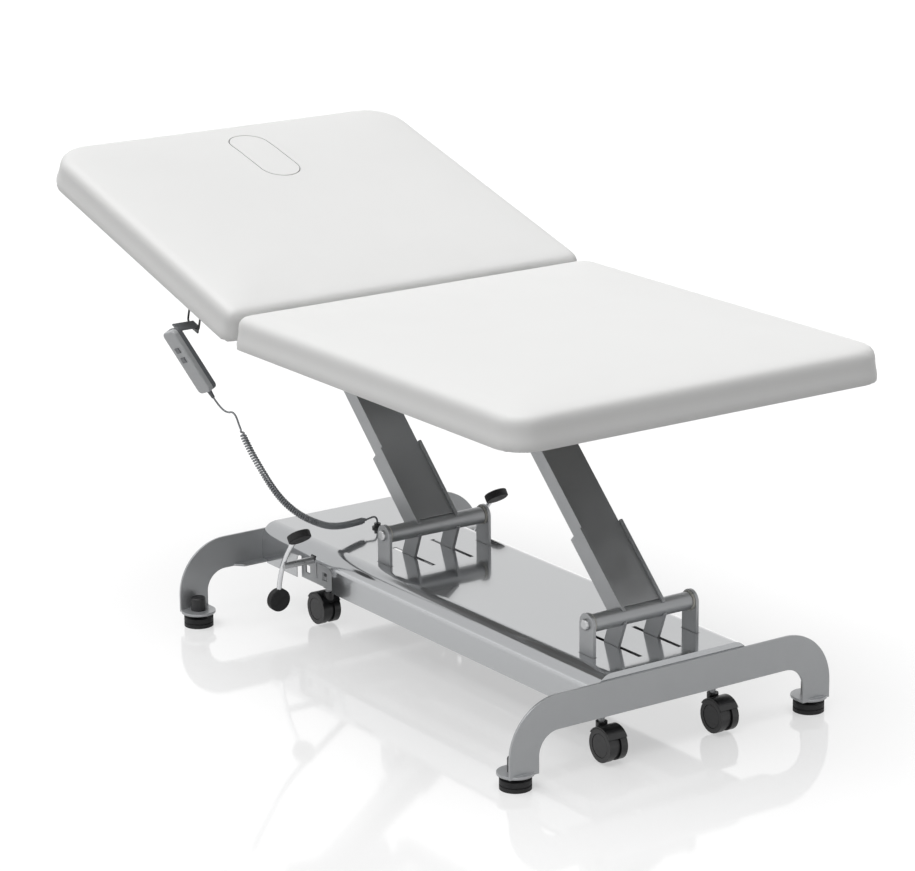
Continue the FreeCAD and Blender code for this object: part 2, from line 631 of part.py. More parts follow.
cross_bars = []
for x0 in (-440, 130, 450):
    cross_bars.append(box(x0, x0 + 40, -RAIL_IN, RAIL_IN, 186, 206))
eye_pin = bar_y(ACT_EYE, ACT_Z, ACT_Y - 19, ACT_Y + 19, 6)
for y0 in (ACT_Y - 19, ACT_Y + 13):
    cheek = box(ACT_EYE - 14, ACT_EYE + 14, y0, y0 + 6, ACT_Z - 14, 186)
    cross_bars.append(cheek.cut(bar_y(ACT_EYE, ACT_Z, y0, y0 + 6, 6.05)))
cross_bars.append(eye_pin)
for y0 in (-20, 44):
    cross_bars.append(box(570, 610, y0, y0 + 8, 180, COVER_UNDER))
save("base_cross_bars", *cross_bars)


def cover_profile(half, radius, top, x):
    spread = half - radius
    knee = top - radius
    mid = radius * HALF_ROOT
    edges = [Part.makeLine(V(x, -spread, top), V(x, spread, top))]
    for s in SIDES:
        edges.append(Part.Arc(V(x, s * spread, top), V(x, s * (spread + mid), knee + mid),
                              V(x, s * half, knee)).toShape())
        edges.append(Part.makeLine(V(x, s * half, knee), V(x, s * half, COVER_LOW)))
    edges.append(Part.makeLine(V(x, -half, COVER_LOW), V(x, half, COVER_LOW)))
    return Part.Face(Part.Wire(Part.__sortEdges__(edges)))


CUT_X0 = -322.0
CUT_X1 = -168.0
CUT_TOP = 160.0
LIP_TOP = LEG_TOP - LEG_BEAM + LIP_THICK + 0.5
run = V(COVER_X1 - COVER_X0, 0, 0)
skin = cover_profile(COVER_HALF, COVER_R, COVER_TOP, COVER_X0).extrude(run)
core = cover_profile(COVER_HALF - COVER_SHEET, COVER_R - COVER_SHEET, COVER_UNDER, INNER_X0)
core = core.extrude(V(INNER_X1 - INNER_X0, 0, 0))
cover = skin.cut(core)
gaps = []
for x in LOW_PIVOTS:
    for side in SIDES:
        y0, y1 = sided(side, RAIL_OUT - 1.5, RAIL_OUT + EAR_THICK + 1.5)
        gaps.append(box(x - EAR_R - 2, x + EAR_R + 2, y0, y1, COVER_TOP - 5, COVER_TOP + 5))
        y0, y1 = sided(side, ARM_WIDE / 2 - 1.5, ARM_WIDE / 2 + ARM_PLATE + 1.5)
        gaps.append(box(x - 92, x + 75, y0, y1, COVER_TOP - 5, COVER_TOP + 5))
for side in SIDES:
    y0, y1 = sided(side, COVER_HALF - 30, COVER_HALF + 5)
    gaps.append(box(CUT_X0, CUT_X1, y0, y1, COVER_LOW - 5, CUT_TOP))
    gaps.append(box(CUT_X0 + 16, CUT_X1 - 16, y0, y1, CUT_TOP, CUT_TOP + 16))
    gaps.extend([bar_y(x, CUT_TOP, y0, y1, 16) for x in (CUT_X0 + 16, CUT_X1 - 16)])
    gaps.append(box(SHAFT_X - 11, SHAFT_X + 11, y0, y1, SHAFT_Z - 10, SHAFT_Z + 11))
for x in (COVER_X0, COVER_X1):
    reach = LIP_WIDE + 1
    wide = COVER_HALF + 5
    gaps.append(box(x - reach, x + reach, -wide, wide, COVER_LOW - 5, LIP_TOP))
GLAND_X = -281.0
gaps.append(bar_z(GLAND_X, 0, COVER_TOP - 5, COVER_TOP + 5, 8.1))
cover = cover.cut(gaps)
save("base_cover", cover)

GLAND_TOP = 226.0
gland = join(
    bar_z(GLAND_X, 0, COVER_UNDER - 8, COVER_TOP, 8),
    bar_z(GLAND_X, 0, COVER_TOP, COVER_TOP + 4, 13),
    bar_z(GLAND_X, 0, COVER_TOP + 4, GLAND_TOP, 8),
    bar_z(GLAND_X, 0, COVER_UNDER - 12, COVER_UNDER, 11),
)
save("cord_gland", gland)

BRACKET_Y = 190.0
BRACKET_TOP = 193.0
brackets = []
for side in SIDES:
    y0, y1 = sided(side, BRACKET_Y, BRACKET_Y + 4)
    wall = box(CUT_X0 + 4, CUT_X1 + 20, y0, y1, COVER_LOW, BRACKET_TOP)
    f0, f1 = sided(side, RAIL_OUT, BRACKET_Y)
    shelf = box(CUT_X0 + 4, CUT_X1 + 20, f0, f1, BRACKET_TOP - 4, BRACKET_TOP)
    shelf = shelf.cut(box(SHAFT_X - 14, SHAFT_X + 14, f0 - 1, f1 + 1, 180, BRACKET_TOP + 2))
    bracket = join(wall, shelf)
    bracket = bracket.cut(bar_y(SHAFT_X, SHAFT_Z, y0, y1, SHAFT_R + 1))
    bracket = bracket.cut(box(SHAFT_X - 2, SHAFT_X + 2, y0, y1, COVER_LOW + 14, SHAFT_Z))
    for x in (SHAFT_X - 40, SHAFT_X + 34):
        bracket = bracket.cut(box(x - 10, x + 10, y0, y1, COVER_LOW + 16, COVER_LOW + 36))
    brackets.append(bracket)
save("pedal_brackets", *brackets)

# Caster lift: cranked shafts, forks on the beams, link bar, pedals.
WEB_Y0 = 89.0
WEB_Y1 = 95.0
ARM_Y0 = 70.0
ARM_Y1 = 78.0
LINK_Y0 = 63.0
LINK_Y1 = 69.0
CRANK_PIN_R = 5.0
STEM_LOW = 74.0
BOSS_TOP = 86.0
GUARD_FROM = 22.0
HUB_R = 33.0
crank_dx = CRANK * math.cos(math.radians(CRANK_ANGLE))
crank_dz = CRANK * math.sin(math.radians(CRANK_ANGLE))
link_dx = LINK_CRANK * math.sin(math.radians(CRANK_ANGLE))
link_dz = -LINK_CRANK * math.cos(math.radians(CRANK_ANGLE))


def crank_shaft(x, half):
    pieces = [bar_y(x, SHAFT_Z, -half, half, SHAFT_R)]
    pin = (x + crank_dx, SHAFT_Z + crank_dz)
    for side in SIDES:
        y0, y1 = sided(side, WEB_Y0, WEB_Y1)
        pieces.append(bar_y(x, SHAFT_Z, y0, y1, 13))
        pieces.append(bar_y(pin[0], pin[1], y0, y1, 8))
        pieces.append(strip_xz((x, SHAFT_Z), pin, 8, y0, y1))
        p0, p1 = sided(side, FORK_Y0 - 1, WEB_Y1)
        pieces.append(bar_y(pin[0], pin[1], p0, p1, CRANK_PIN_R))
    end = (x + link_dx, SHAFT_Z + link_dz)
    pieces.append(bar_y(x, SHAFT_Z, ARM_Y0, ARM_Y1, 13))
    pieces.append(strip_xz((x, SHAFT_Z), end, 9, ARM_Y0, ARM_Y1))
    pieces.append(bar_y(end[0], end[1], ARM_Y0, ARM_Y1, 9))
    pieces.append(bar_y(end[0], end[1], LINK_Y0, ARM_Y0, CRANK_PIN_R))
    return join(*pieces)


def caster_beam(x, shaft_x):
    solids = []
    beam = box(x - 20, x + 20, -170, 170, 103, 131)
    beam = beam.cut([bar_z(x, s * CASTER_Y, 103, 131, 7.05) for s in SIDES])
    solids.append(beam)
    pin_z = SHAFT_Z + crank_dz
    pin_x = shaft_x + crank_dx
    for side in SIDES:
        y0, y1 = sided(side, FORK_Y0, FORK_Y1)
        low = box(x - 20, pin_x + 15, y0, y1, 131, 145)
        high = box(shaft_x + SHAFT_R + 1, pin_x + 15, y0, y1, 145, pin_z + 14)
        mouth = box(shaft_x, pin_x + CRANK_PIN_R + 3, y0, y1,
                    pin_z - CRANK_PIN_R - 0.5, pin_z + CRANK_PIN_R + 0.5)
        solids.append(join(low, high).cut(mouth))
        solids.append(bar_z(x, side * PIN_Y, 131, 200, 6))
        stem = bar_z(x, side * CASTER_Y, STEM_LOW, 131, 7)
        collar = bar_z(x, side * CASTER_Y, 97.3, 103, 12)
        solids.append(join(stem, collar))
    return solids


def caster(x, y, trail):
    wx = x + trail
    wz = WHEEL_R + WHEEL_LIFT
    inner = 7.0
    outer = 24.0
    room = WHEEL_R + 1.0
    guard = bar_y(wx, wz, y - outer, y + outer, room + 3)
    guard = guard.common(box(wx - 60, wx + 60, y - 40, y + 40, wz + GUARD_FROM, wz + 60))
    boss = bar_z(x, y, 62, BOSS_TOP, 13)
    hub = bar_y(wx, wz, y - inner + 0.5, y + inner - 0.5, HUB_R)
    hood = join(guard, boss, hub)
    for s in SIDES:
        y0, y1 = sorted((y + s * (inner - 0.5), y + s * (outer + 1)))
        hood = hood.cut(bar_y(wx, wz, y0, y1, room))
    hood = hood.cut(bar_y(wx, wz, y - inner, y + inner, 5 + RUN))
    hood = hood.cut(bar_z(x, y, STEM_LOW - 0.5, BOSS_TOP, 7 + RUN))
    wheels = [bar_y(wx, wz, y - inner, y + inner, 5)]
    for s in SIDES:
        y0, y1 = sorted((y + s * inner, y + s * outer))
        tread = bar_y(wx, wz, y0, y1, WHEEL_R)
        d0, d1 = sorted((y + s * (outer - 3), y + s * outer))
        wheels.append(tread.cut(bar_y(wx, wz, d0, d1, 27)))
    return hood, join(*wheels)


CASTERS = (
    ("front_near", CASTER_FRONT_X, -CASTER_Y, TRAIL_FRONT),
    ("front_far", CASTER_FRONT_X, CASTER_Y, TRAIL_FRONT),
    ("rear_near", CASTER_REAR_X, -CASTER_Y, TRAIL_REAR),
    ("rear_far", CASTER_REAR_X, CASTER_Y, TRAIL_REAR),
)
for name, x, y, trail in CASTERS:
    hood, wheels = caster(x, y, trail)
    save("caster_hood_" + name, hood)
    save("caster_wheels_" + name, wheels)
save("rear_caster_beam", *caster_beam(CASTER_REAR_X, SHAFT_X))
save("front_caster_beam", *caster_beam(CASTER_FRONT_X, FRONT_SHAFT_X))

UPPER = V(66, 0, 88)
MIDDLE = V(-8, 0, 1)
LOWER = V(-33, 0, -93)
pedal_rods = []
pedal_pads = []
for side in SIDES:
    hub_at = V(SHAFT_X, side * PEDAL_Y, SHAFT_Z)
    bow = Part.Arc(hub_at + LOWER, hub_at + MIDDLE, hub_at + UPPER)
    edge = bow.toShape()
    start = edge.valueAt(edge.FirstParameter)
    ends = [(edge.valueAt(p), edge.tangentAt(p)) for p in (edge.FirstParameter, edge.LastParameter)]
    ring = Part.Wire(Part.makeCircle(PEDAL_ROD_R, start, ends[0][1]))
    rod = Part.Wire([edge]).makePipeShell([ring], True, False)
    pedal_rods.append(rod)
    for spot, along in ends:
        facing = along.cross(Y_DIR)
        half = PEDAL_PAD_THICK / 2.0
        pad = cyl(spot - facing * half, facing * PEDAL_PAD_THICK, PEDAL_PAD_R)
        pad = pad.makeFillet(3.0, [e for e in pad.Edges if e.Length > 100])
        pedal_pads.append(pad.cut(rod))
save("pedal_rods", *pedal_rods)
save("pedal_pads", *pedal_pads)
pedal_shaft = crank_shaft(SHAFT_X, PEDAL_Y + 4)
save("pedal_shaft", pedal_shaft.cut(pedal_rods))
save("front_crank_shaft", crank_shaft(FRONT_SHAFT_X, RAIL_OUT))

rear_end = (SHAFT_X + link_dx, SHAFT_Z + link_dz)
front_end = (FRONT_SHAFT_X + link_dx, SHAFT_Z + link_dz)
link = join(
    box(rear_end[0], front_end[0], LINK_Y0, LINK_Y1, rear_end[1] - 8, rear_end[1] + 8),
    bar_y(rear_end[0], rear_end[1], LINK_Y0, LINK_Y1, 10),
    bar_y(front_end[0], front_end[1], LINK_Y0, LINK_Y1, 10),
)
link = link.cut(bar_y(rear_end[0], rear_end[1], LINK_Y0, LINK_Y1, CRANK_PIN_R + RUN))
link = link.cut(bar_y(front_end[0], front_end[1], LINK_Y0, LINK_Y1, CRANK_PIN_R + OPEN_RUN))
save("link_bar", link)

# Wire loop under the backrest and the handset hung on it.
LOOP_X0 = HINGE_X - 272.0
LOOP_X1 = HINGE_X - 222.0
LOOP_Y = -432.0
LOOP_DROP = 89.0
LOOP_Z = BACK_UNDER - LOOP_DROP
LOOP_BEND = 10.0


def bent_wire(points, bend, radius):
    edges = []
    last = points[0]
    for index in range(1, len(points) - 1):
        corner = points[index]
        back = points[index - 1] - corner
        ahead = points[index + 1] - corner
        back.normalize()
        ahead.normalize()
        turn = math.pi - back.getAngle(ahead)
        reach = bend * math.tan(turn / 2.0)
        start = corner + back * reach
        end = corner + ahead * reach
        inward = back + ahead
        inward.normalize()
        centre = corner + inward * (bend / math.cos(turn / 2.0))
        edges.append(Part.makeLine(last, start))
        edges.append(Part.Arc(start, centre - inward * bend, end).toShape())
        last = end
    edges.append(Part.makeLine(last, points[-1]))
    path = Part.Wire(edges)
    ring = Part.Wire(Part.makeCircle(radius, points[0], points[1] - points[0]))
    return path.makePipeShell([ring], True, False)


loop_points = [V(LOOP_X0, LOOP_Y, BACK_UNDER), V(LOOP_X0, LOOP_Y, LOOP_Z),
               V(LOOP_X1, LOOP_Y, LOOP_Z), V(LOOP_X1, LOOP_Y, BACK_UNDER)]
save("handset_loop", raised(bent_wire(loop_points, LOOP_BEND, LOOP_R)))

down = HANDSET_END - HANDSET_TOP
down.normalize()
up = down * -1.0
rear = Y_DIR - up * Y_DIR.dot(up)
rear.normalize()
across = rear.cross(up)
hand_turn = FreeCAD.Rotation(across, rear, up, "ZYX")
HAND = FreeCAD.Placement((HANDSET_TOP + HANDSET_END) * 0.5, hand_turn)


def in_hand(shape):
    placed = shape.copy()
    placed.Placement = HAND.multiply(placed.Placement)
    return placed


def handset_block(y0, y1, outward):
    half = HANDSET_WIDE / 2.0
    long = HANDSET_LONG / 2.0
    block = box(-half, half, y0, y1, -long, long)
    upright = [e for e in block.Edges if abs(e.CenterOfMass.y - (y0 + y1) / 2) < 0.01]
    block = block.makeFillet(12.0, upright)
    face_y = y0 if outward < 0 else y1
    rim = [e for e in block.Edges if abs(e.CenterOfMass.y - face_y) < 0.01]
    return block.makeFillet(4.0, rim)


BUTTON_HALF = 9.0
BUTTON_TALL = 7.0
BUTTON_ROOM = 0.35
BUTTON_TRAVEL = 2.0
front = handset_block(-HANDSET_HALF, 0, -1)
for name, z in (("up", 34.0), ("down", 8.0)):
    well = box(-BUTTON_HALF - BUTTON_ROOM, BUTTON_HALF + BUTTON_ROOM, -HANDSET_HALF - 1, -4,
               z - BUTTON_TALL - BUTTON_ROOM, z + BUTTON_TALL + BUTTON_ROOM)
    front = front.cut(well)
    cap = box(-BUTTON_HALF, BUTTON_HALF, -HANDSET_HALF - 2.4, -4 - BUTTON_TRAVEL - 0.4,
              z - BUTTON_TALL, z + BUTTON_TALL)
    rim = [e for e in cap.Edges if abs(e.CenterOfMass.y + HANDSET_HALF + 2.4) < 0.01]
    save("handset_button_" + name, in_hand(cap.makeFillet(1.5, rim)))
front = in_hand(front)
save("handset_front", front)

back = in_hand(handset_block(0, HANDSET_HALF, 1))
HOOK_X0 = LOOP_X0 + 10.0
HOOK_X1 = LOOP_X1 - 10.0
hook_arm = box(HOOK_X0, HOOK_X1, LOOP_Y - 48, LOOP_Y + 8, LOOP_Z + LOOP_R, LOOP_Z + LOOP_R + 4)
hook_lip = box(HOOK_X0, HOOK_X1, LOOP_Y + 4, LOOP_Y + 8, LOOP_Z - 12, LOOP_Z + LOOP_R)
hook = raised(join(hook_arm, hook_lip))
hook = hook.cut(front)
keep = in_hand(box(-200, 200, 0.0, 200, -200, 200))
hook = hook.common(keep)
RELIEF_LONG = 20.0
HAND_LOW = HAND.multVec(V(0, 0, -HANDSET_LONG / 2))
relief = Part.makeCone(6.0, 4.0, RELIEF_LONG, HAND_LOW, down)
relief = relief.cut(front)
save("handset_back", join(back, hook), relief)

# Curly cord: one tube from the strain relief to the gland.
CORD_START = HAND_LOW + down * RELIEF_LONG
ROUTE_RISE = 365.4
RISE = (CORD_START.z - GLAND_TOP) / ROUTE_RISE


def hung(x, y, z):
    return V(x, y, GLAND_TOP + (z - GLAND_TOP) * RISE)


ROUTE = [
    CORD_START,
    CORD_START + down * 20,
    hung(-304, -399, 561),
    hung(-271, -396, 571),
    hung(-262, -386, 525),
    hung(-247, -371, 478),
    hung(-234, -352, 434),
    hung(-226, -326, 384),
    hung(-222, -294, 341),
    hung(-217, -255, 306),
    hung(-218, -214, 282),
    hung(-231, -172, 262),
    hung(-252, -122, 248),
    hung(-267, -76, 243),
    hung(-279, -34, 241),
    hung(-281, 0, 246),
    V(GLAND_X, 0, GLAND_TOP),
]
CURL_FROM = 118.0
CURL_STOP = 40.0


def rounded_route(points, step):
    spots = []
    last = points[0]
    radii = []
    for index in range(1, len(points) - 1):
        corner = points[index]
        back_run = points[index - 1] - corner
        next_run = points[index + 1] - corner
        reach = 0.45 * min(back_run.Length, next_run.Length)
        back_run.normalize()
        next_run.normalize()
        turn = math.pi - back_run.getAngle(next_run)
        radius = reach / math.tan(turn / 2.0)
        radii.append(radius)
        start = corner + back_run * reach
        inward = back_run + next_run
        inward.normalize()
        centre = corner + inward * (radius / math.cos(turn / 2.0))
        run_long = (start - last).Length
        count = max(int(run_long / step), 1)
        spots.extend([last + (start - last) * (i / count) for i in range(count)])
        count = max(int(radius * turn / step), 2)
        axis_u = (start - centre).normalize()
        axis_v = (back_run * -1.0)
        for i in range(count):
            angle = turn * i / count
            spots.append(centre + (axis_u * math.cos(angle) + axis_v * math.sin(angle)) * radius)
        last = corner + next_run * reach
    run_long = (points[-1] - last).Length
    count = max(int(run_long / step), 1)
    spots.extend([last + (points[-1] - last) * (i / count) for i in range(count + 1)])
    return spots, radii


spots, radii = rounded_route(ROUTE, 1.0)
print("cord route radii", [round(r, 1) for r in radii])
marks = [0.0]
for a, b in zip(spots, spots[1:]):
    marks.append(marks[-1] + (b - a).Length)
ROUTE_LONG = marks[-1]
tangents = []
for i in range(len(spots)):
    a = spots[max(i - 1, 0)]
    b = spots[min(i + 1, len(spots) - 1)]
    tangents.append((b - a).normalize())
normals = [tangents[0].cross(X_DIR).normalize()]
for i in range(1, len(spots)):
    n = normals[-1]
    n = n - tangents[i] * n.dot(tangents[i])
    normals.append(n.normalize())


def along_route(s):
    lo = 0
    hi = len(marks) - 1
    while hi - lo > 1:
        mid = (lo + hi) // 2
        if marks[mid] <= s:
            lo = mid
        else:
            hi = mid
    part = (s - marks[lo]) / max(marks[hi] - marks[lo], 1e-9)
    at = spots[lo] + (spots[hi] - spots[lo]) * part
    t = (tangents[lo] * (1 - part) + tangents[hi] * part).normalize()
    n = normals[lo] * (1 - part) + normals[hi] * part
    n = (n - t * n.dot(t)).normalize()
    return at, t, n


CURL_END = ROUTE_LONG - CURL_STOP
RAMP = 24.0
LOOSE_PITCH = 15.0
CURL_STEP = 0.05


def curl_rise(s):
    rise = max(min((s - CURL_FROM) / RAMP, (CURL_END - s) / RAMP, 1.0), 0.0)
    return rise * rise * (3 - 2 * rise)


phases = [0.0]
curl_marks = [CURL_FROM]
quarter_marks = []
while curl_marks[-1] < CURL_END:
    here = curl_marks[-1]
    rise = curl_rise(here)
    pitch = LOOSE_PITCH + (CURL_PITCH - LOOSE_PITCH) * rise
    phases.append(phases[-1] + 2 * math.pi * CURL_STEP / pitch)
    curl_marks.append(here + CURL_STEP)
    if int(phases[-1] / (math.pi / 2)) > int(phases[-2] / (math.pi / 2)):
        quarter_marks.append(here + CURL_STEP)
TURNS = phases[-1] / (2 * math.pi)


def cord_at(s):
    at, t, n = along_route(min(max(s, 0.0), ROUTE_LONG))
    if s <= CURL_FROM or s >= CURL_END:
        return at
    place = (s - CURL_FROM) / CURL_STEP
    index = min(int(place), len(phases) - 2)
    phase = phases[index] + (phases[index + 1] - phases[index]) * (place - index)
    b = t.cross(n)
    return at + (n * math.cos(phase) + b * math.sin(phase)) * (CURL_R * curl_rise(s))


def cord_heading(s):
    if s < 0.05:
        return tangents[0]
    if s > ROUTE_LONG - 0.05:
        return tangents[-1]
    return (cord_at(s + 0.02) - cord_at(s - 0.02)).normalize()


def biarc(p0, t0, p1, t1):
    v = p1 - p0
    t = t0 + t1
    k = 2.0 * (1.0 - t0.dot(t1))
    if k < 1e-7:
        return [Part.makeLine(p0, p1)]
    d = (-v.dot(t) + math.sqrt(v.dot(t) ** 2 + k * v.dot(v))) / k
    q0 = p0 + t0 * d
    q1 = p1 - t1 * d
    middle = (q0 + q1) * 0.5
    edges = []
    for a, q, b in ((p0, q0, middle), (middle, q1, p1)):
        chord = (a + b) * 0.5
        lift = q - chord
        half = (b - a).Length / 2.0
        if lift.Length < 1e-4 * half:
            edges.append(Part.makeLine(a, b))
            continue
        sag = half * math.tan(math.atan(lift.Length / half) / 2.0)
        edges.append(Part.Arc(a, chord + lift.normalize() * sag, b).toShape())
    return edges


stations = [0.0]
lead_cuts = int(CURL_FROM / 9.0)
stations.extend([CURL_FROM * i / lead_cuts for i in range(1, lead_cuts + 1)])
stations.extend([q for q in quarter_marks if CURL_FROM + 1 < q < CURL_END - 1])
stations.append(CURL_END)
tail_cuts = int(CURL_STOP / 8.0)
stations.extend([CURL_END + CURL_STOP * i / tail_cuts for i in range(1, tail_cuts + 1)])
cord_edges = []
for a, b in zip(stations, stations[1:]):
    cord_edges.extend(biarc(cord_at(a), cord_heading(a), cord_at(b), cord_heading(b)))
cord_path = Part.Wire(cord_edges)
ring = Part.Wire(Part.makeCircle(CORD_R, cord_at(0.0), tangents[0]))
cord = cord_path.makePipeShell([ring], True, False)
save("handset_cord", cord)

fine = []
lengths = [0.0]
s = CURL_FROM - 20.0
while s < CURL_END + 15.0:
    fine.append(cord_at(s))
    if len(fine) > 1:
        lengths.append(lengths[-1] + (fine[-1] - fine[-2]).Length)
    s += CURL_PITCH / 36.0
least = 1e9
for i in range(len(fine)):
    for j in range(i + 10, min(i + 110, len(fine))):
        if lengths[j] - lengths[i] > 16.0:
            least = min(least, (fine[i] - fine[j]).Length)
tight = min([e.Curve.Radius for e in cord_edges if e.Curve.TypeId == "Part::GeomCircle"])
print("cord: turns", round(TURNS, 1), "route", round(ROUTE_LONG, 1), "wire", round(cord_path.Length, 1),
      "least gap", round(least - 2 * CORD_R, 2), "tightest arc", round(tight, 2))
print("files", len(os.listdir("parts")))
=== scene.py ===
import json
import math

import bmesh
import bpy
from mathutils import Matrix, Vector
from mathutils.kdtree import KDTree

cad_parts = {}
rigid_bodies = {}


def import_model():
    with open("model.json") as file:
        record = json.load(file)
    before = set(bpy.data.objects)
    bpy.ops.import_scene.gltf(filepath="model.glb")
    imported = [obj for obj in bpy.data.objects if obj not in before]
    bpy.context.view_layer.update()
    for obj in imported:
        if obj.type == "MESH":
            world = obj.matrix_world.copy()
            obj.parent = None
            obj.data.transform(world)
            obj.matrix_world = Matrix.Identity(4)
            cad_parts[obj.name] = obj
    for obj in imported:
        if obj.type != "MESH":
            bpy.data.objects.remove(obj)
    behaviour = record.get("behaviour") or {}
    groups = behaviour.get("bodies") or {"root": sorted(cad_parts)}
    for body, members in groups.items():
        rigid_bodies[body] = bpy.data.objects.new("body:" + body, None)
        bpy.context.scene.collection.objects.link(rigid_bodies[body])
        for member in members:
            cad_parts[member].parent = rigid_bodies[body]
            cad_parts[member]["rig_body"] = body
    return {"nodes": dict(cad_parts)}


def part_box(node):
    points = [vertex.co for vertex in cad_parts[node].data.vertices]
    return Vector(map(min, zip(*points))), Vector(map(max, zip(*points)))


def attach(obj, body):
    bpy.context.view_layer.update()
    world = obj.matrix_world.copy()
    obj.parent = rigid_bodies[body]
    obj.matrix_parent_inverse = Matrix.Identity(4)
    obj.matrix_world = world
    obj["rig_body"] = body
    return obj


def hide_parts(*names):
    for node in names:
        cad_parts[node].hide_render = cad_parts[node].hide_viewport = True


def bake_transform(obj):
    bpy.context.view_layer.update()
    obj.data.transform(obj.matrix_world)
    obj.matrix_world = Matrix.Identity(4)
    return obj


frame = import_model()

bl_info = {
    "name": "Therapy couch looks",
    "version": (1, 0, 0),
    "blender": (4, 5, 0),
    "location": "View3D > Sidebar > Couch",
    "description": "Dresses the couch's construction model: upholstery, curly cord, finishes and stage",
    "category": "Object",
}


# Lengths are in metres, and places are those of the construction model.
# The pads: their hinge and underside, and how the filling swells them.
HINGE = Vector((-0.1119, 0.0, 0.824))
BACK_TILT = math.radians(16.2)
RAISE = Matrix.Translation(HINGE) @ Matrix.Rotation(BACK_TILT, 4, "Y") @ Matrix.Translation(-HINGE)
PAD_UNDER = 0.770
HELD_RIM = 0.005
FREE_FROM = 0.050
SWELL_STEPS = 20
SWELL_PRESSURE = 4.0
NEAR_PUSHES = 6
SMOOTH_FIRST = 4
SMOOTH_LAST = 3
SMOOTH_SHARE = 0.5
WELD = 1e-6
PAD_SHARP = math.radians(50.0)
# The face plug: its place and size in the flat backrest, and the hole round it.
PLUG_X = -0.8009
PLUG_LONG = 0.246
PLUG_WIDE = 0.104
PLUG_LOW = 0.7883
PLUG_OVERLAP = 1.04
HOLE_BELOW = 0.05
HOLE_ABOVE = 0.2
# The cord: its route from the handset down to the cover, its curls, and where its runs meet.
ROUTE = [
    (-0.34169, -0.41030, 0.59142),
    (-0.33557, -0.40219, 0.57419),
    (-0.304, -0.399, 0.561),
    (-0.271, -0.396, 0.571),
    (-0.262, -0.386, 0.525),
    (-0.247, -0.371, 0.478),
    (-0.234, -0.352, 0.434),
    (-0.226, -0.326, 0.384),
    (-0.222, -0.294, 0.341),
    (-0.217, -0.255, 0.306),
    (-0.218, -0.214, 0.282),
    (-0.231, -0.172, 0.262),
    (-0.252, -0.122, 0.248),
    (-0.267, -0.076, 0.243),
    (-0.279, -0.034, 0.241),
    (-0.281, 0.0, 0.246),
    (-0.281, 0.0, 0.226),
]
ROUTE_STEPS = 24
CURL_FROM = 0.118
CURL_STOP = 0.040
CURL_RAMP = 0.024
LOOSE_PITCH = 0.015
STEPS_A_CURL = 20.0
CORD_CUTS = (Vector((-0.230, -0.338, 0.408)), Vector((-0.2245, -0.314, 0.368)))
CORD_TOP = Vector((-0.271, -0.396, 0.571))
CORD_REST = Vector((-0.2215, -0.290, 0.337))
ACROSS = Vector((0.0, 1.0, 0.0))
# Plates and tubes whose edges are broken, and the casters' hub discs.
SOFT_EDGED = (
    "front_leg_plate", "rear_leg_plate", "pivot_ears", "top_ears", "rear_arm", "front_arm",
    "rear_arm_plates", "front_arm_plates", "top_side_rails",
)
MERGE_TURN = math.radians(0.6)
BREAK_FROM = math.radians(40.0)
HUB_STEP = 0.0006
HUB_SIDES = 64
CORNERS = ("front_near", "front_far", "rear_near", "rear_far")
# Patterns: millimetres in a metre, and how broken up a noise is.
MM = 1000.0
SOFT = 2.0
PLAIN = 0.0
# The stage: lamps with their aim and power, background, floor and camera.
LAMPS = (("overhead", (0.05, 0.20, -1.0), 2.75), ("fill", (-0.45, 0.85, -0.05), 0.17))
LAMP_SPREAD = math.radians(70.0)
WORLD_LIGHT = 0.08
FLOOR_GLOW = 0.5
SENSOR_MM = 36.0
VIEW_FAR = 100.0
CAMERA_PLACE = Vector((6.3546, -4.3244, 2.6791))
CAMERA_TURN = (math.radians(55.5), math.radians(15.8), math.radians(-0.5))
CAMERA_LENS = 135.43
CAMERA_SHIFT = 0.002


def linear(code):
    """An sRGB hex colour as linear red, green, blue."""
    parts = [int(code[i:i + 2], 16) / 255.0 for i in (1, 3, 5)]
    return tuple(c / 12.92 if c <= 0.04045 else ((c + 0.055) / 1.055) ** 2.4 for c in parts)


def colour(label, code):
    return bpy.props.FloatVectorProperty(
        name=label, description=label + " before shading", subtype="COLOR",
        size=3, min=0.0, max=1.0, default=linear(code))


def length(label, description, default):
    return bpy.props.FloatProperty(
        name=label, description=description, subtype="DISTANCE", unit="LENGTH", default=default)


class CouchSizes(bpy.types.PropertyGroup):
    """Sizes a user may change."""
    pad_grid: length("Pad grid", "Spacing of the pads' mesh", 0.0075)
    swell_grid: length("Swell grid", "Spacing of the rough mesh that the filling pushes", 0.020)
    pad_shrink: length("Pad shrink", "How much smaller a pad starts than its outline", 0.003)
    pad_swell: length("Pad swell", "The most that the filling pushes the cover out", 0.004)
    plug_gap: length("Plug gap", "Gap round the face plug", 0.0025)
    cord_radius: length("Cord radius", "Radius of the handset cord's sheath", 0.00235)
    curl_radius: length("Curl radius", "Radius of the cord's curls", 0.0061)
    curl_pitch: length("Curl pitch", "Advance of one curl", 0.00655)
    hub_radius: length("Hub radius", "Radius of the casters' hub discs", 0.0258)
    hub_depth: length("Hub depth", "Thickness of the casters' hub discs", 0.0022)
    edge_break: length("Edge break", "Rounding of the sheet and tube edges", 0.0009)
    floor_half: length("Floor half-width", "Half the width of the floor", 14.0)


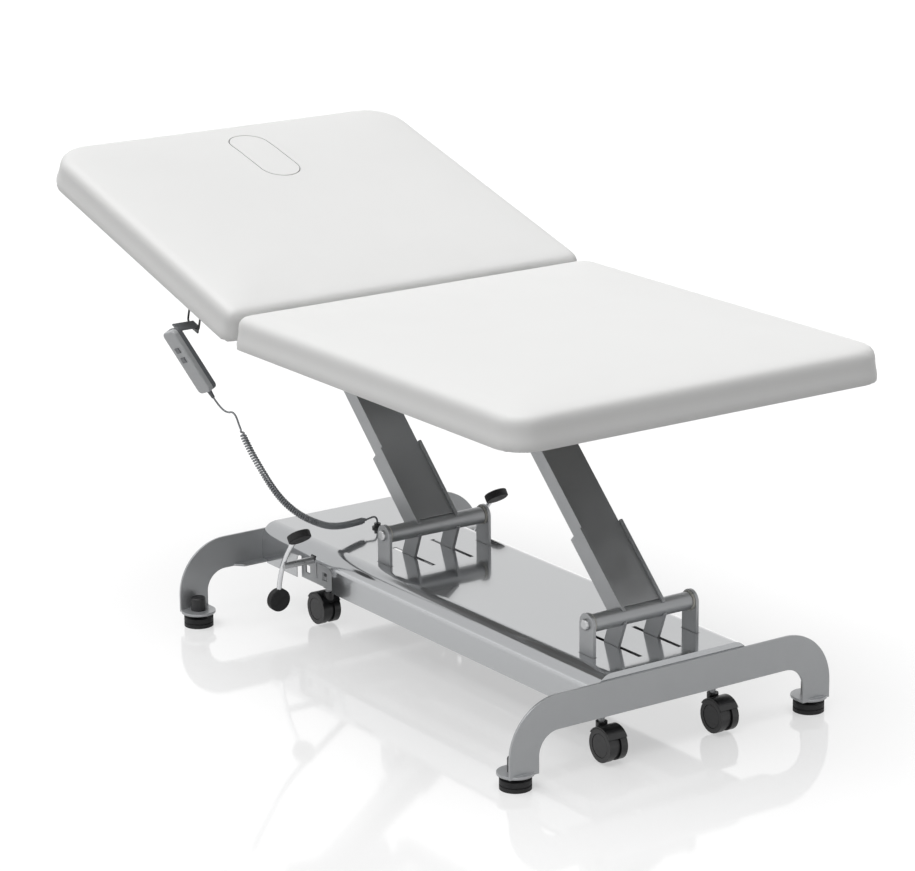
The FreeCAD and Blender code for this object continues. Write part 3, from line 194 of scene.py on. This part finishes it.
class CouchColours(bpy.types.PropertyGroup):
    """Colours a user may change."""
    vinyl: colour("Vinyl", "#EFEFEE")
    lacquer: colour("Lacquer", "#ADAFB1")
    cover: colour("Cover lacquer", "#B2B4B6")
    zinc: colour("Zinc", "#B9BABB")
    chrome: colour("Chrome", "#DADBDD")
    rubber: colour("Rubber", "#29292A")
    caster: colour("Caster", "#151517")
    moulding: colour("Black moulding", "#232325")
    nylon: colour("Nylon", "#D6D4CC")
    casting: colour("Casting", "#A9ABAE")
    black_paint: colour("Black paint", "#1A1B1D")
    handset: colour("Handset face", "#C9CBCD")
    handset_back: colour("Handset back", "#7A7C80")
    cord: colour("Cord", "#A6A9AD")
    plywood: colour("Plywood", "#94928E")
    floor: colour("Floor", "#BCBCBC")


def add(tree, kind, settings=None, links=None):
    """Adds a node with its settings and its incoming links."""
    node = tree.nodes.new(kind)
    for key, value in (settings or {}).items():
        if key in node.inputs:
            node.inputs[key].default_value = value
        else:
            setattr(node, key, value)
    for key, socket in (links or {}).items():
        tree.links.new(socket, node.inputs[key])
    return node


def surface(name, settings, base, tone, sheen, skin=None, pebbled=False, stretch=None):
    """A material whose tone, sheen and skin drift in patches of real sizes, in millimetres.

    tone: patch size, share by which the colour drifts, detail of the patches.
    sheen: patch size, least and greatest roughness.
    skin: grain size, depth of the grain, its strength and its detail.
    """
    made = bpy.data.materials.new(name)
    made.use_nodes = True
    tree = made.node_tree
    shader = tree.nodes["Principled BSDF"]
    for key, value in settings.items():
        shader.inputs[key].default_value = value
    place = add(tree, "ShaderNodeTexCoord").outputs["Object"]
    drawn = place
    if stretch:
        drawn = add(tree, "ShaderNodeMapping", {"Scale": stretch}, {"Vector": place}).outputs[0]

    size, share, detail = tone
    patches = add(tree, "ShaderNodeTexNoise", {"Scale": MM / size, "Detail": detail}, {"Vector": drawn})
    mix = add(tree, "ShaderNodeMix", {"data_type": "RGBA"})
    mix.inputs[6].default_value = [part * (1.0 - share) for part in base] + [1.0]
    mix.inputs[7].default_value = [min(1.0, part * (1.0 + share)) for part in base] + [1.0]
    tree.links.new(patches.outputs[0], mix.inputs[0])
    tree.links.new(mix.outputs[2], shader.inputs["Base Color"])

    size, least, greatest = sheen
    clouds = add(tree, "ShaderNodeTexNoise", {"Scale": MM / size, "Detail": SOFT}, {"Vector": place})
    span = {"From Min": 0.3, "From Max": 0.7, "To Min": least, "To Max": greatest}
    rough = add(tree, "ShaderNodeMapRange", span, {"Value": clouds.outputs[0]})
    tree.links.new(rough.outputs[0], shader.inputs["Roughness"])

    if skin:
        size, depth, strength, detail = skin
        if pebbled:
            pebbles = {"Scale": MM / size, "feature": "SMOOTH_F1"}
            grain = add(tree, "ShaderNodeTexVoronoi", pebbles, {"Vector": drawn})
        else:
            grain = add(tree, "ShaderNodeTexNoise", {"Scale": MM / size, "Detail": detail}, {"Vector": drawn})
        height = {"Strength": strength, "Distance": depth / MM}
        bump = add(tree, "ShaderNodeBump", height, {"Height": grain.outputs[0]})
        tree.links.new(bump.outputs[0], shader.inputs["Normal"])
    return made


def seen_directly(tree):
    """One where a camera, mirror or glass ray looks, and nought for the light that the rest casts."""
    path = add(tree, "ShaderNodeLightPath").outputs
    mirror = add(tree, "ShaderNodeMath", {"operation": "MAXIMUM"})
    tree.links.new(path["Is Camera Ray"], mirror.inputs[0])
    tree.links.new(path["Is Glossy Ray"], mirror.inputs[1])
    glass = add(tree, "ShaderNodeMath", {"operation": "MAXIMUM"})
    tree.links.new(mirror.outputs[0], glass.inputs[0])
    tree.links.new(path["Is Transmission Ray"], glass.inputs[1])
    return glass.outputs[0]


def white_vinyl(c):
    # Wipe-clean upholstery vinyl: fine pebbled grain, soft sheen, faint drift in tone.
    # The pebbles are drawn a little coarser than life, for a close view.
    return surface("white_vinyl", {"Specular IOR Level": 0.42}, c.vinyl, (120.0, 0.012, SOFT),
                   (60.0, 0.40, 0.50), (1.6, 0.05, 0.5, SOFT), pebbled=True)


def silver_lacquer(c):
    # Baked metallic lacquer on tube and plate: fine flake and a trace of orange peel.
    # The flake is drawn far coarser than life, for a close view.
    coat = {"Metallic": 0.42, "Coat Weight": 0.35, "Coat Roughness": 0.2}
    return surface("silver_lacquer", coat, c.lacquer, (0.7, 0.10, PLAIN),
                   (40.0, 0.33, 0.42), (4.0, 0.02, 0.4, SOFT))


def gloss_lacquer(c):
    # High-gloss metallic lacquer on the base cover: mirrors the room under a clear coat.
    # The flake is drawn far coarser than life, for a close view.
    coat = {"Metallic": 0.75, "Coat Weight": 1.0, "Coat Roughness": 0.03}
    return surface("gloss_lacquer", coat, c.cover, (0.6, 0.06, PLAIN),
                   (80.0, 0.10, 0.15), (9.0, 0.015, 0.3, SOFT))


def zinc_plate(c):
    # Zinc-plated steel: dull bright metal with cloudy patches.
    return surface("zinc_plate", {"Metallic": 1.0}, c.zinc, (3.0, 0.08, SOFT),
                   (5.0, 0.26, 0.38), (0.8, 0.01, 0.4, SOFT))


def polished_chrome(c):
    # Polished chrome: a mirror with a little handling haze.
    return surface("polished_chrome", {"Metallic": 1.0}, c.chrome, (20.0, 0.02, SOFT), (14.0, 0.05, 0.12))


def moulded_rubber(c):
    # Black rubber: matt, with a moulded grain and grey dusting.
    return surface("moulded_rubber", {"Specular IOR Level": 0.35}, c.rubber, (9.0, 0.25, SOFT),
                   (12.0, 0.55, 0.70), (0.9, 0.04, 0.5, SOFT))


def caster_nylon(c):
    # Black caster moulding: smooth nylon, semi-gloss with rolling wear.
    return surface("caster_nylon", {}, c.caster, (6.0, 0.2, SOFT),
                   (8.0, 0.28, 0.42), (1.2, 0.02, 0.4, SOFT))


def black_abs(c):
    # Matt black moulding: spark-eroded texture, drawn coarser than life for a close view.
    return surface("black_abs", {}, c.moulding, (15.0, 0.12, SOFT),
                   (10.0, 0.42, 0.52), (0.7, 0.03, 0.6, SOFT))


def natural_nylon(c):
    # Natural nylon bearing ring: milky off-white with turning marks.
    return surface("natural_nylon", {}, c.nylon, (5.0, 0.05, SOFT),
                   (6.0, 0.38, 0.48), (0.6, 0.01, 0.4, SOFT))


def cast_alloy(c):
    # Die-cast housing: grey alloy with a grainy skin.
    return surface("cast_alloy", {"Metallic": 0.85}, c.casting, (7.0, 0.08, SOFT),
                   (9.0, 0.42, 0.55), (1.0, 0.05, 0.5, SOFT))


def black_lacquer(c):
    # Black paint on wire and tube: smooth, half-gloss.
    coat = {"Coat Weight": 0.3, "Coat Roughness": 0.15}
    return surface("black_lacquer", coat, c.black_paint, (8.0, 0.15, SOFT),
                   (10.0, 0.28, 0.38), (2.5, 0.01, 0.4, SOFT))


def pale_abs(c):
    # Pale grey handset face: fine moulded grain, drawn coarser than life for a close view.
    return surface("pale_abs", {}, c.handset, (12.0, 0.02, SOFT),
                   (8.0, 0.38, 0.46), (0.6, 0.02, 0.5, SOFT))


def dark_abs(c):
    # Grey handset back and keys: fine moulded grain, drawn coarser than life for a close view.
    return surface("dark_abs", {}, c.handset_back, (12.0, 0.04, SOFT),
                   (8.0, 0.40, 0.50), (0.6, 0.02, 0.5, SOFT))


def sheath_pvc(c):
    # Grey cable sheath: soft plastic with a slight shine.
    return surface("sheath_pvc", {}, c.cord, (6.0, 0.05, SOFT), (5.0, 0.36, 0.46))


def birch_plywood(c):
    # Raw plywood under the pads: long grain streaks.
    return surface("birch_plywood", {}, c.plywood, (7.0, 0.22, 4.0),
                   (20.0, 0.55, 0.70), (2.0, 0.1, 0.5, 3.0), stretch=(0.08, 1.0, 1.0))


def studio_floor(c):
    # Lit white acrylic studio floor: glows to the eye, mirrors the base faintly and keeps its shadow.
    made = surface("studio_floor", {"Emission Color": (1.0, 1.0, 1.0, 1.0)}, c.floor,
                   (900.0, 0.004, SOFT), (500.0, 0.05, 0.08))
    tree = made.node_tree
    span = {"To Min": 0.0, "To Max": FLOOR_GLOW}
    glow = add(tree, "ShaderNodeMapRange", span, {"Value": seen_directly(tree)})
    tree.links.new(glow.outputs[0], tree.nodes["Principled BSDF"].inputs["Emission Strength"])
    return made


FINISHES = {
    "upholstery": white_vinyl, "board": birch_plywood, "lacquer": silver_lacquer,
    "cover_lacquer": gloss_lacquer, "zinc": zinc_plate, "chrome": polished_chrome,
    "rubber": moulded_rubber, "caster_black": caster_nylon, "black_plastic": black_abs,
    "pale_nylon": natural_nylon, "grey_casting": cast_alloy, "gas_black": black_lacquer,
    "handset_pale": pale_abs, "handset_dark": dark_abs, "cord_grey": sheath_pvc,
}
BODY_OF = {node: obj["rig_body"] for node, obj in frame["nodes"].items()}
SLOT_OF = {node: obj.material_slots[0].material.name for node, obj in frame["nodes"].items()}


def finish_for(slot, colours):
    """The material of a slot, made once."""
    maker = FINISHES[slot]
    found = bpy.data.materials.get(maker.__name__)
    return found or maker(colours)


def link_mesh(name, mesh):
    made = bpy.data.objects.new(name, mesh)
    bpy.context.scene.collection.objects.link(made)
    return made


def baked(obj):
    """Turns an object's live modifiers into its plain mesh."""
    graph = bpy.context.evaluated_depsgraph_get()
    mesh = bpy.data.meshes.new_from_object(obj.evaluated_get(graph))
    obj.modifiers.clear()
    old = obj.data
    obj.data = mesh
    bpy.data.meshes.remove(old)
    mesh.name = obj.name


def merged_copy(name, nodes, grow=1.0):
    """One mesh from copies of construction nodes, with their loose triangles merged."""
    work = bmesh.new()
    for index, node in enumerate(nodes):
        first = len(work.verts)
        work.from_mesh(frame["nodes"][node].data)
        work.verts.ensure_lookup_table()
        if index and grow != 1.0:
            fresh = work.verts[first:]
            middle = sum((v.co for v in fresh), Vector()) / len(fresh)
            for v in fresh:
                v.co.x = middle.x + (v.co.x - middle.x) * grow
                v.co.y = middle.y + (v.co.y - middle.y) * grow
    bmesh.ops.remove_doubles(work, verts=work.verts, dist=WELD)
    mesh = bpy.data.meshes.new(name)
    work.to_mesh(mesh)
    work.free()
    return link_mesh(name, mesh)


def smoothed(mesh, held, rounds):
    """Relaxes the free part of a mesh."""
    work = bmesh.new()
    work.from_mesh(mesh)
    work.verts.ensure_lookup_table()
    free = [v for v in work.verts if not held[v.index]]
    for _ in range(rounds):
        bmesh.ops.smooth_vert(
            work, verts=free, factor=SMOOTH_SHARE, use_axis_x=True, use_axis_y=True, use_axis_z=True)
    work.to_mesh(mesh)
    work.free()


def gridded(obj, spacing):
    """Rebuilds a mesh on an even grid."""
    grid = obj.modifiers.new("grid", "REMESH")
    grid.mode = "VOXEL"
    grid.voxel_size = spacing
    baked(obj)


def swelling(obj, sizes):
    """How far the filling pushes out each point of a coarse copy of a pad, kept in a search tree."""
    rough = link_mesh("rough_pad", obj.data.copy())
    gridded(rough, sizes.swell_grid)
    rest = [v.co.copy() for v in rough.data.vertices]
    held = rough.vertex_groups.new(name="held")
    held.add([i for i, spot in enumerate(rest) if spot.z < PAD_UNDER + HELD_RIM], 1.0, "REPLACE")
    cloth = rough.modifiers.new("swell", "CLOTH")
    cloth.settings.use_pressure = True
    cloth.settings.uniform_pressure_force = SWELL_PRESSURE
    cloth.settings.effector_weights.gravity = 0.0
    cloth.settings.vertex_group_mass = "held"
    cloth.point_cache.frame_start = 1
    cloth.point_cache.frame_end = SWELL_STEPS
    for step in range(1, SWELL_STEPS + 1):
        bpy.context.scene.frame_set(step)
    baked(rough)
    bpy.context.scene.frame_set(1)
    pushes = [v.co - spot for v, spot in zip(rough.data.vertices, rest)]
    tree = KDTree(len(rest))
    for index, spot in enumerate(rest):
        tree.insert(spot, index)
    tree.balance()
    mesh = rough.data
    bpy.data.objects.remove(rough)
    bpy.data.meshes.remove(mesh)
    return tree, pushes


def stuffed(obj, flat, sizes):
    """A pad's smooth, swollen cover, worked in its flat place, its underside held to the board."""
    obj.data.transform(flat)
    gridded(obj, sizes.pad_grid)
    mesh = obj.data
    rise = [v.co.z - PAD_UNDER for v in mesh.vertices]
    freedom = [ramp((z - HELD_RIM) / (FREE_FROM - HELD_RIM)) for z in rise]
    held = [z < HELD_RIM for z in rise]
    smoothed(mesh, held, SMOOTH_FIRST)
    tree, pushes = swelling(obj, sizes)
    outward = [v.normal.copy() for v in mesh.vertices]
    for v in mesh.vertices:
        near = tree.find_n(v.co, NEAR_PUSHES)
        push = sum((pushes[index] for _, index, _ in near), Vector()) / len(near)
        if push.length > sizes.pad_swell:
            push = push.normalized() * sizes.pad_swell
        v.co += (push - outward[v.index] * sizes.pad_shrink) * freedom[v.index]
    smoothed(mesh, held, SMOOTH_LAST)
    mesh.transform(flat.inverted())
    for face in mesh.polygons:
        face.use_smooth = True
    return obj


def stadium(name, long, wide, low, high, sides=24):
    """A round-ended block in the flat pad's place, raised with the backrest."""
    half = (long - wide) / 2.0
    ring = []
    for end, start in ((1, -math.pi / 2), (-1, math.pi / 2)):
        for i in range(sides + 1):
            turn = start + math.pi * i / sides
            ring.append((PLUG_X + end * half + wide / 2 * math.cos(turn), wide / 2 * math.sin(turn)))
    count = len(ring)
    points = [RAISE @ Vector((x, y, z)) for z in (low, high) for x, y in ring]
    faces = [(i, (i + 1) % count, count + (i + 1) % count, count + i) for i in range(count)]
    faces += [tuple(reversed(range(count))), tuple(range(count, 2 * count))]
    mesh = bpy.data.meshes.new(name)
    mesh.from_pydata(points, [], faces)
    return link_mesh(name, mesh)


def carved(obj, cutter, how):
    """Cuts a pad's mesh with a block, and drops the block."""
    cut = obj.modifiers.new("cut", "BOOLEAN")
    cut.operation = how
    cut.solver = "EXACT"
    cut.object = cutter
    bpy.context.view_layer.update()
    baked(obj)
    block = cutter.data
    bpy.data.objects.remove(cutter)
    bpy.data.meshes.remove(block)


def wear(obj, slot, colours):
    obj.data.materials.clear()
    obj.data.materials.append(finish_for(slot, colours))


def route_points():
    """Points along the cord's route, read from a spline through its given points."""
    curve = bpy.data.curves.new("cord_route", "CURVE")
    curve.dimensions = "3D"
    curve.resolution_u = ROUTE_STEPS
    spline = curve.splines.new("NURBS")
    spline.points.add(len(ROUTE) - 1)
    for point, place in zip(spline.points, ROUTE):
        point.co = (*place, 1.0)
    spline.order_u = 3
    spline.use_endpoint_u = True
    holder = bpy.data.objects.new("cord_route", curve)
    bpy.context.scene.collection.objects.link(holder)
    graph = bpy.context.evaluated_depsgraph_get()
    mesh = bpy.data.meshes.new_from_object(holder.evaluated_get(graph))
    points = [v.co.copy() for v in mesh.vertices]
    bpy.data.objects.remove(holder)
    bpy.data.curves.remove(curve)
    bpy.data.meshes.remove(mesh)
    return points


def ramp(value):
    share = min(1.0, max(0.0, value))
    return share * share * (3.0 - 2.0 * share)


def curly(points, sizes):
    """The cord's middle line: plain at its ends, curled round the route between them."""
    reach = [0.0]
    for a, b in zip(points, points[1:]):
        reach.append(reach[-1] + (b - a).length)
    total = reach[-1]
    step = sizes.curl_pitch / STEPS_A_CURL
    count = int(total / step)
    side = Vector((0.0, 0.0, 1.0))
    line = []
    phase = 0.0
    index = 0
    for k in range(count + 1):
        s = total * k / count
        while index < len(reach) - 2 and reach[index + 1] < s:
            index += 1
        span = reach[index + 1] - reach[index]
        along = points[index + 1] - points[index]
        spot = points[index] + along * ((s - reach[index]) / span)
        along.normalize()
        side = (side - along * side.dot(along)).normalized()
        grown = ramp((s - CURL_FROM) / CURL_RAMP) * ramp((total - CURL_STOP - s) / CURL_RAMP)
        pitch = LOOSE_PITCH + (sizes.curl_pitch - LOOSE_PITCH) * grown
        phase += 2.0 * math.pi * (total / count) / pitch
        out = side * math.cos(phase) + along.cross(side) * math.sin(phase)
        line.append((spot, spot + out * sizes.curl_radius * grown))
    return line


def tube(name, line, radius, sides=10):
    """A closed round tube along a line of points."""
    mesh = bpy.data.meshes.new(name)
    side = Vector((0.3, 0.5, 0.8))
    verts = []
    faces = []
    last = len(line) - 1
    for k, spot in enumerate(line):
        along = (line[min(last, k + 1)] - line[max(0, k - 1)]).normalized()
        side = (side - along * side.dot(along)).normalized()
        other = along.cross(side)
        for i in range(sides):
            turn = 2.0 * math.pi * i / sides
            verts.append(spot + (side * math.cos(turn) + other * math.sin(turn)) * radius)
        if k:
            base = (k - 1) * sides
            for i in range(sides):
                j = (i + 1) % sides
                faces.append((base + i, base + j, base + sides + j, base + sides + i))
    faces.append(tuple(reversed(range(sides))))
    faces.append(tuple(range(last * sides, last * sides + sides)))
    mesh.from_pydata(verts, [], faces)
    for face in mesh.polygons:
        face.use_smooth = len(face.vertices) == 4
    return link_mesh(name, mesh)


def disc_tree():
    """A node tree that sets a disc, its axis along Y, on every point of a mesh."""
    found = bpy.data.node_groups.get("disc_on_points")
    if found:
        return found
    tree = bpy.data.node_groups.new("disc_on_points", "GeometryNodeTree")
    face = tree.interface
    for label, kind in (("Geometry", "NodeSocketGeometry"), ("Radius", "NodeSocketFloat"),
                        ("Depth", "NodeSocketFloat"), ("Finish", "NodeSocketMaterial")):
        face.new_socket(label, in_out="INPUT", socket_type=kind)
    face.new_socket("Geometry", in_out="OUTPUT", socket_type="NodeSocketGeometry")
    given = add(tree, "NodeGroupInput").outputs
    disc = add(tree, "GeometryNodeMeshCylinder", {"Vertices": HUB_SIDES}, {
        "Radius": given["Radius"], "Depth": given["Depth"]})
    laid = add(tree, "GeometryNodeInstanceOnPoints", {"Rotation": (math.pi / 2.0, 0.0, 0.0)}, {
        "Points": given["Geometry"], "Instance": disc.outputs[0]})
    real = add(tree, "GeometryNodeRealizeInstances", {}, {"Geometry": laid.outputs[0]})
    dressed = add(tree, "GeometryNodeSetMaterial", {}, {
        "Geometry": real.outputs[0], "Material": given["Finish"]})
    add(tree, "NodeGroupOutput", {}, {"Geometry": dressed.outputs[0]})
    return tree


def discs(name, places, radius, depth, finish):
    """Equal discs at the places given, as one plain mesh."""
    tree = disc_tree()
    mesh = bpy.data.meshes.new(name)
    mesh.from_pydata(places, [], [])
    maker = link_mesh(name, mesh)
    live = maker.modifiers.new("discs", "NODES")
    live.node_group = tree
    given = {"Radius": radius, "Depth": depth, "Finish": finish}
    for socket in tree.interface.items_tree:
        if socket.in_out == "INPUT" and socket.name in given:
            live[socket.identifier] = given[socket.name]
    baked(maker)
    return maker


class COUCH_OT_pads(bpy.types.Operator):
    """Builds the seat pad, the backrest pad and the face plug"""
    bl_idname = "couch.pads"
    bl_label = "Pads"

    def execute(self, context):
        sizes = context.scene.couch_sizes
        colours = context.scene.couch_colours
        seat = stuffed(merged_copy("seat_cushion", ["seat_pad"]), Matrix.Identity(4), sizes)
        back = merged_copy("backrest_cushion", ["backrest_pad", "face_plug"], PLUG_OVERLAP)
        stuffed(back, RAISE.inverted(), sizes)
        plug = link_mesh("face_cushion", back.data.copy())
        gap = sizes.plug_gap
        above = PAD_UNDER + HOLE_ABOVE
        hole = stadium("hole", PLUG_LONG, PLUG_WIDE, PAD_UNDER - HOLE_BELOW, above)
        block = stadium("block", PLUG_LONG - 2 * gap, PLUG_WIDE - 2 * gap, PLUG_LOW, above)
        carved(back, hole, "DIFFERENCE")
        carved(plug, block, "INTERSECT")
        for obj, body, node in ((seat, "top", "seat_pad"), (back, "backrest", "backrest_pad"),
                                (plug, "plug", "face_plug")):
            wear(obj, "upholstery", colours)
            obj.data.set_sharp_from_angle(angle=PAD_SHARP)
            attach(obj, body)
            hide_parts(node)
        return {"FINISHED"}


class COUCH_OT_cord(bpy.types.Operator):
    """Builds the curly handset cord in three runs"""
    bl_idname = "couch.cord"
    bl_label = "Handset cord"

    def execute(self, context):
        sizes = context.scene.couch_sizes
        line = curly(route_points(), sizes)
        marks = [0]
        for cut in CORD_CUTS:
            marks.append(min(range(len(line)), key=lambda i: (line[i][0] - cut).length))
        marks.append(len(line) - 1)
        # Each run lists the body below it, the body above it and where a blend between them starts and ends,
        # across the couch, the way that no body moves;
        # only each run's name is read here, so no run blends or follows a body.
        runs = (
            ("handset_cord_high", "top", "backrest", CORD_CUTS[0], CORD_TOP),
            ("handset_cord_middle", "rear_arm", "top", CORD_CUTS[1] * ACROSS, CORD_CUTS[0] * ACROSS),
            ("handset_cord_low", "base", "rear_arm", CORD_REST * ACROSS, CORD_CUTS[1] * ACROSS),
        )
        for (name, low, high, start, end), first, last in zip(runs, marks, marks[1:]):
            path = [pair[1] for pair in line[first:last + 1]]
            obj = tube(name, path, sizes.cord_radius)
            wear(obj, "cord_grey", context.scene.couch_colours)
            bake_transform(obj)
            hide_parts("handset_cord")
        return {"FINISHED"}


class COUCH_OT_edges(bpy.types.Operator):
    """Breaks the edges of the lacquered plates and tubes"""
    bl_idname = "couch.edges"
    bl_label = "Broken edges"

    def execute(self, context):
        sizes = context.scene.couch_sizes
        for node in SOFT_EDGED:
            obj = merged_copy(node + "_soft", [node])
            work = bmesh.new()
            work.from_mesh(obj.data)
            bmesh.ops.dissolve_limit(work, angle_limit=MERGE_TURN, verts=work.verts, edges=work.edges)
            for face in work.faces:
                face.smooth = True
            work.to_mesh(obj.data)
            work.free()
            rim = obj.modifiers.new("rim", "BEVEL")
            rim.width = sizes.edge_break
            rim.segments = 2
            rim.limit_method = "ANGLE"
            rim.angle_limit = BREAK_FROM
            even = obj.modifiers.new("even", "WEIGHTED_NORMAL")
            even.mode = "FACE_AREA"
            even.keep_sharp = True
            baked(obj)
            wear(obj, SLOT_OF[node], context.scene.couch_colours)
            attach(obj, BODY_OF[node])
            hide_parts(node)
        return {"FINISHED"}


class COUCH_OT_details(bpy.types.Operator):
    """Adds the smooth hub discs on both faces of every caster"""
    bl_idname = "couch.details"
    bl_label = "Hub discs"

    def execute(self, context):
        sizes = context.scene.couch_sizes
        finish = finish_for("caster_black", context.scene.couch_colours)
        sunk = sizes.hub_depth / 2.0 + HUB_STEP
        for corner in CORNERS:
            node = "caster_wheels_" + corner
            low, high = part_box(node)
            middle = (Vector(low) + Vector(high)) / 2.0
            places = [(middle.x, low[1] + sunk, middle.z), (middle.x, high[1] - sunk, middle.z)]
            obj = discs("wheel_discs_" + corner, places, sizes.hub_radius, sizes.hub_depth, finish)
            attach(obj, BODY_OF[node])
        return {"FINISHED"}


class COUCH_OT_finishes(bpy.types.Operator):
    """Gives every construction node that still shows its real finish"""
    bl_idname = "couch.finishes"
    bl_label = "Finishes"

    def execute(self, context):
        for node, obj in frame["nodes"].items():
            obj.material_slots[0].material = finish_for(SLOT_OF[node], context.scene.couch_colours)
        return {"FINISHED"}


class COUCH_OT_stage(bpy.types.Operator):
    """Lays the floor, the lights, the background and the camera"""
    bl_idname = "couch.stage"
    bl_label = "Stage"

    def execute(self, context):
        scene = context.scene
        half = scene.couch_sizes.floor_half
        mesh = bpy.data.meshes.new("studio_floor")
        edge = [(-half, -half, 0), (half, -half, 0), (half, half, 0), (-half, half, 0)]
        mesh.from_pydata(edge, [], [(0, 1, 2, 3)])
        floor = link_mesh("studio_floor", mesh)
        floor.data.materials.append(studio_floor(scene.couch_colours))

        world = bpy.data.worlds.new("studio")
        world.use_nodes = True
        tree = world.node_tree
        back = tree.nodes["Background"]
        back.inputs["Color"].default_value = (1.0, 1.0, 1.0, 1.0)
        span = {"To Min": WORLD_LIGHT, "To Max": 1.0}
        level = add(tree, "ShaderNodeMapRange", span, {"Value": seen_directly(tree)})
        tree.links.new(level.outputs[0], back.inputs["Strength"])
        scene.world = world

        for name, aim, power in LAMPS:
            lamp = bpy.data.lights.new(name, "SUN")
            lamp.energy = power
            lamp.angle = LAMP_SPREAD
            light = bpy.data.objects.new(name, lamp)
            light.rotation_euler = Vector(aim).to_track_quat("-Z", "Y").to_euler()
            scene.collection.objects.link(light)

        turn, rise, roll = CAMERA_TURN
        behind = Vector((math.cos(rise) * math.sin(turn), -math.cos(rise) * math.cos(turn), math.sin(rise)))
        right = Vector((math.cos(turn), math.sin(turn), 0.0))
        upward = behind.cross(right)
        right, upward = (right * math.cos(roll) + upward * math.sin(roll),
                         upward * math.cos(roll) - right * math.sin(roll))
        view = bpy.data.cameras.new("photo_camera")
        view.sensor_width = SENSOR_MM
        view.sensor_fit = "HORIZONTAL"
        view.lens = CAMERA_LENS
        view.shift_y = CAMERA_SHIFT
        view.clip_end = VIEW_FAR
        camera = bpy.data.objects.new("photo_camera", view)
        axes = Matrix((right, upward, behind)).transposed().to_4x4()
        camera.matrix_world = Matrix.Translation(CAMERA_PLACE) @ axes
        scene.collection.objects.link(camera)
        scene.camera = camera
        scene.view_settings.view_transform = "Standard"
        return {"FINISHED"}


STEPS = (COUCH_OT_pads, COUCH_OT_cord, COUCH_OT_edges, COUCH_OT_details, COUCH_OT_finishes, COUCH_OT_stage)


class COUCH_PT_panel(bpy.types.Panel):
    """Lists the couch's building steps"""
    bl_idname = "COUCH_PT_panel"
    bl_label = "Therapy couch"
    bl_space_type = "VIEW_3D"
    bl_region_type = "UI"
    bl_category = "Couch"

    def draw(self, context):
        for step in STEPS:
            self.layout.operator(step.bl_idname)


CLASSES = (CouchSizes, CouchColours) + STEPS + (COUCH_PT_panel,)


def register():
    for cls in CLASSES:
        bpy.utils.register_class(cls)
    bpy.types.Scene.couch_sizes = bpy.props.PointerProperty(type=CouchSizes)
    bpy.types.Scene.couch_colours = bpy.props.PointerProperty(type=CouchColours)


def unregister():
    del bpy.types.Scene.couch_colours
    del bpy.types.Scene.couch_sizes
    for cls in reversed(CLASSES):
        bpy.utils.unregister_class(cls)


def main():
    for stray in [o for o in bpy.data.objects if o.name in ("Cube", "Light", "Camera")]:
        bpy.data.objects.remove(stray)
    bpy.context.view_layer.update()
    register()
    bpy.ops.couch.pads()
    bpy.ops.couch.cord()
    bpy.ops.couch.edges()
    bpy.ops.couch.details()
    bpy.ops.couch.finishes()
    bpy.ops.couch.stage()


if __name__ == "__main__":
    main()
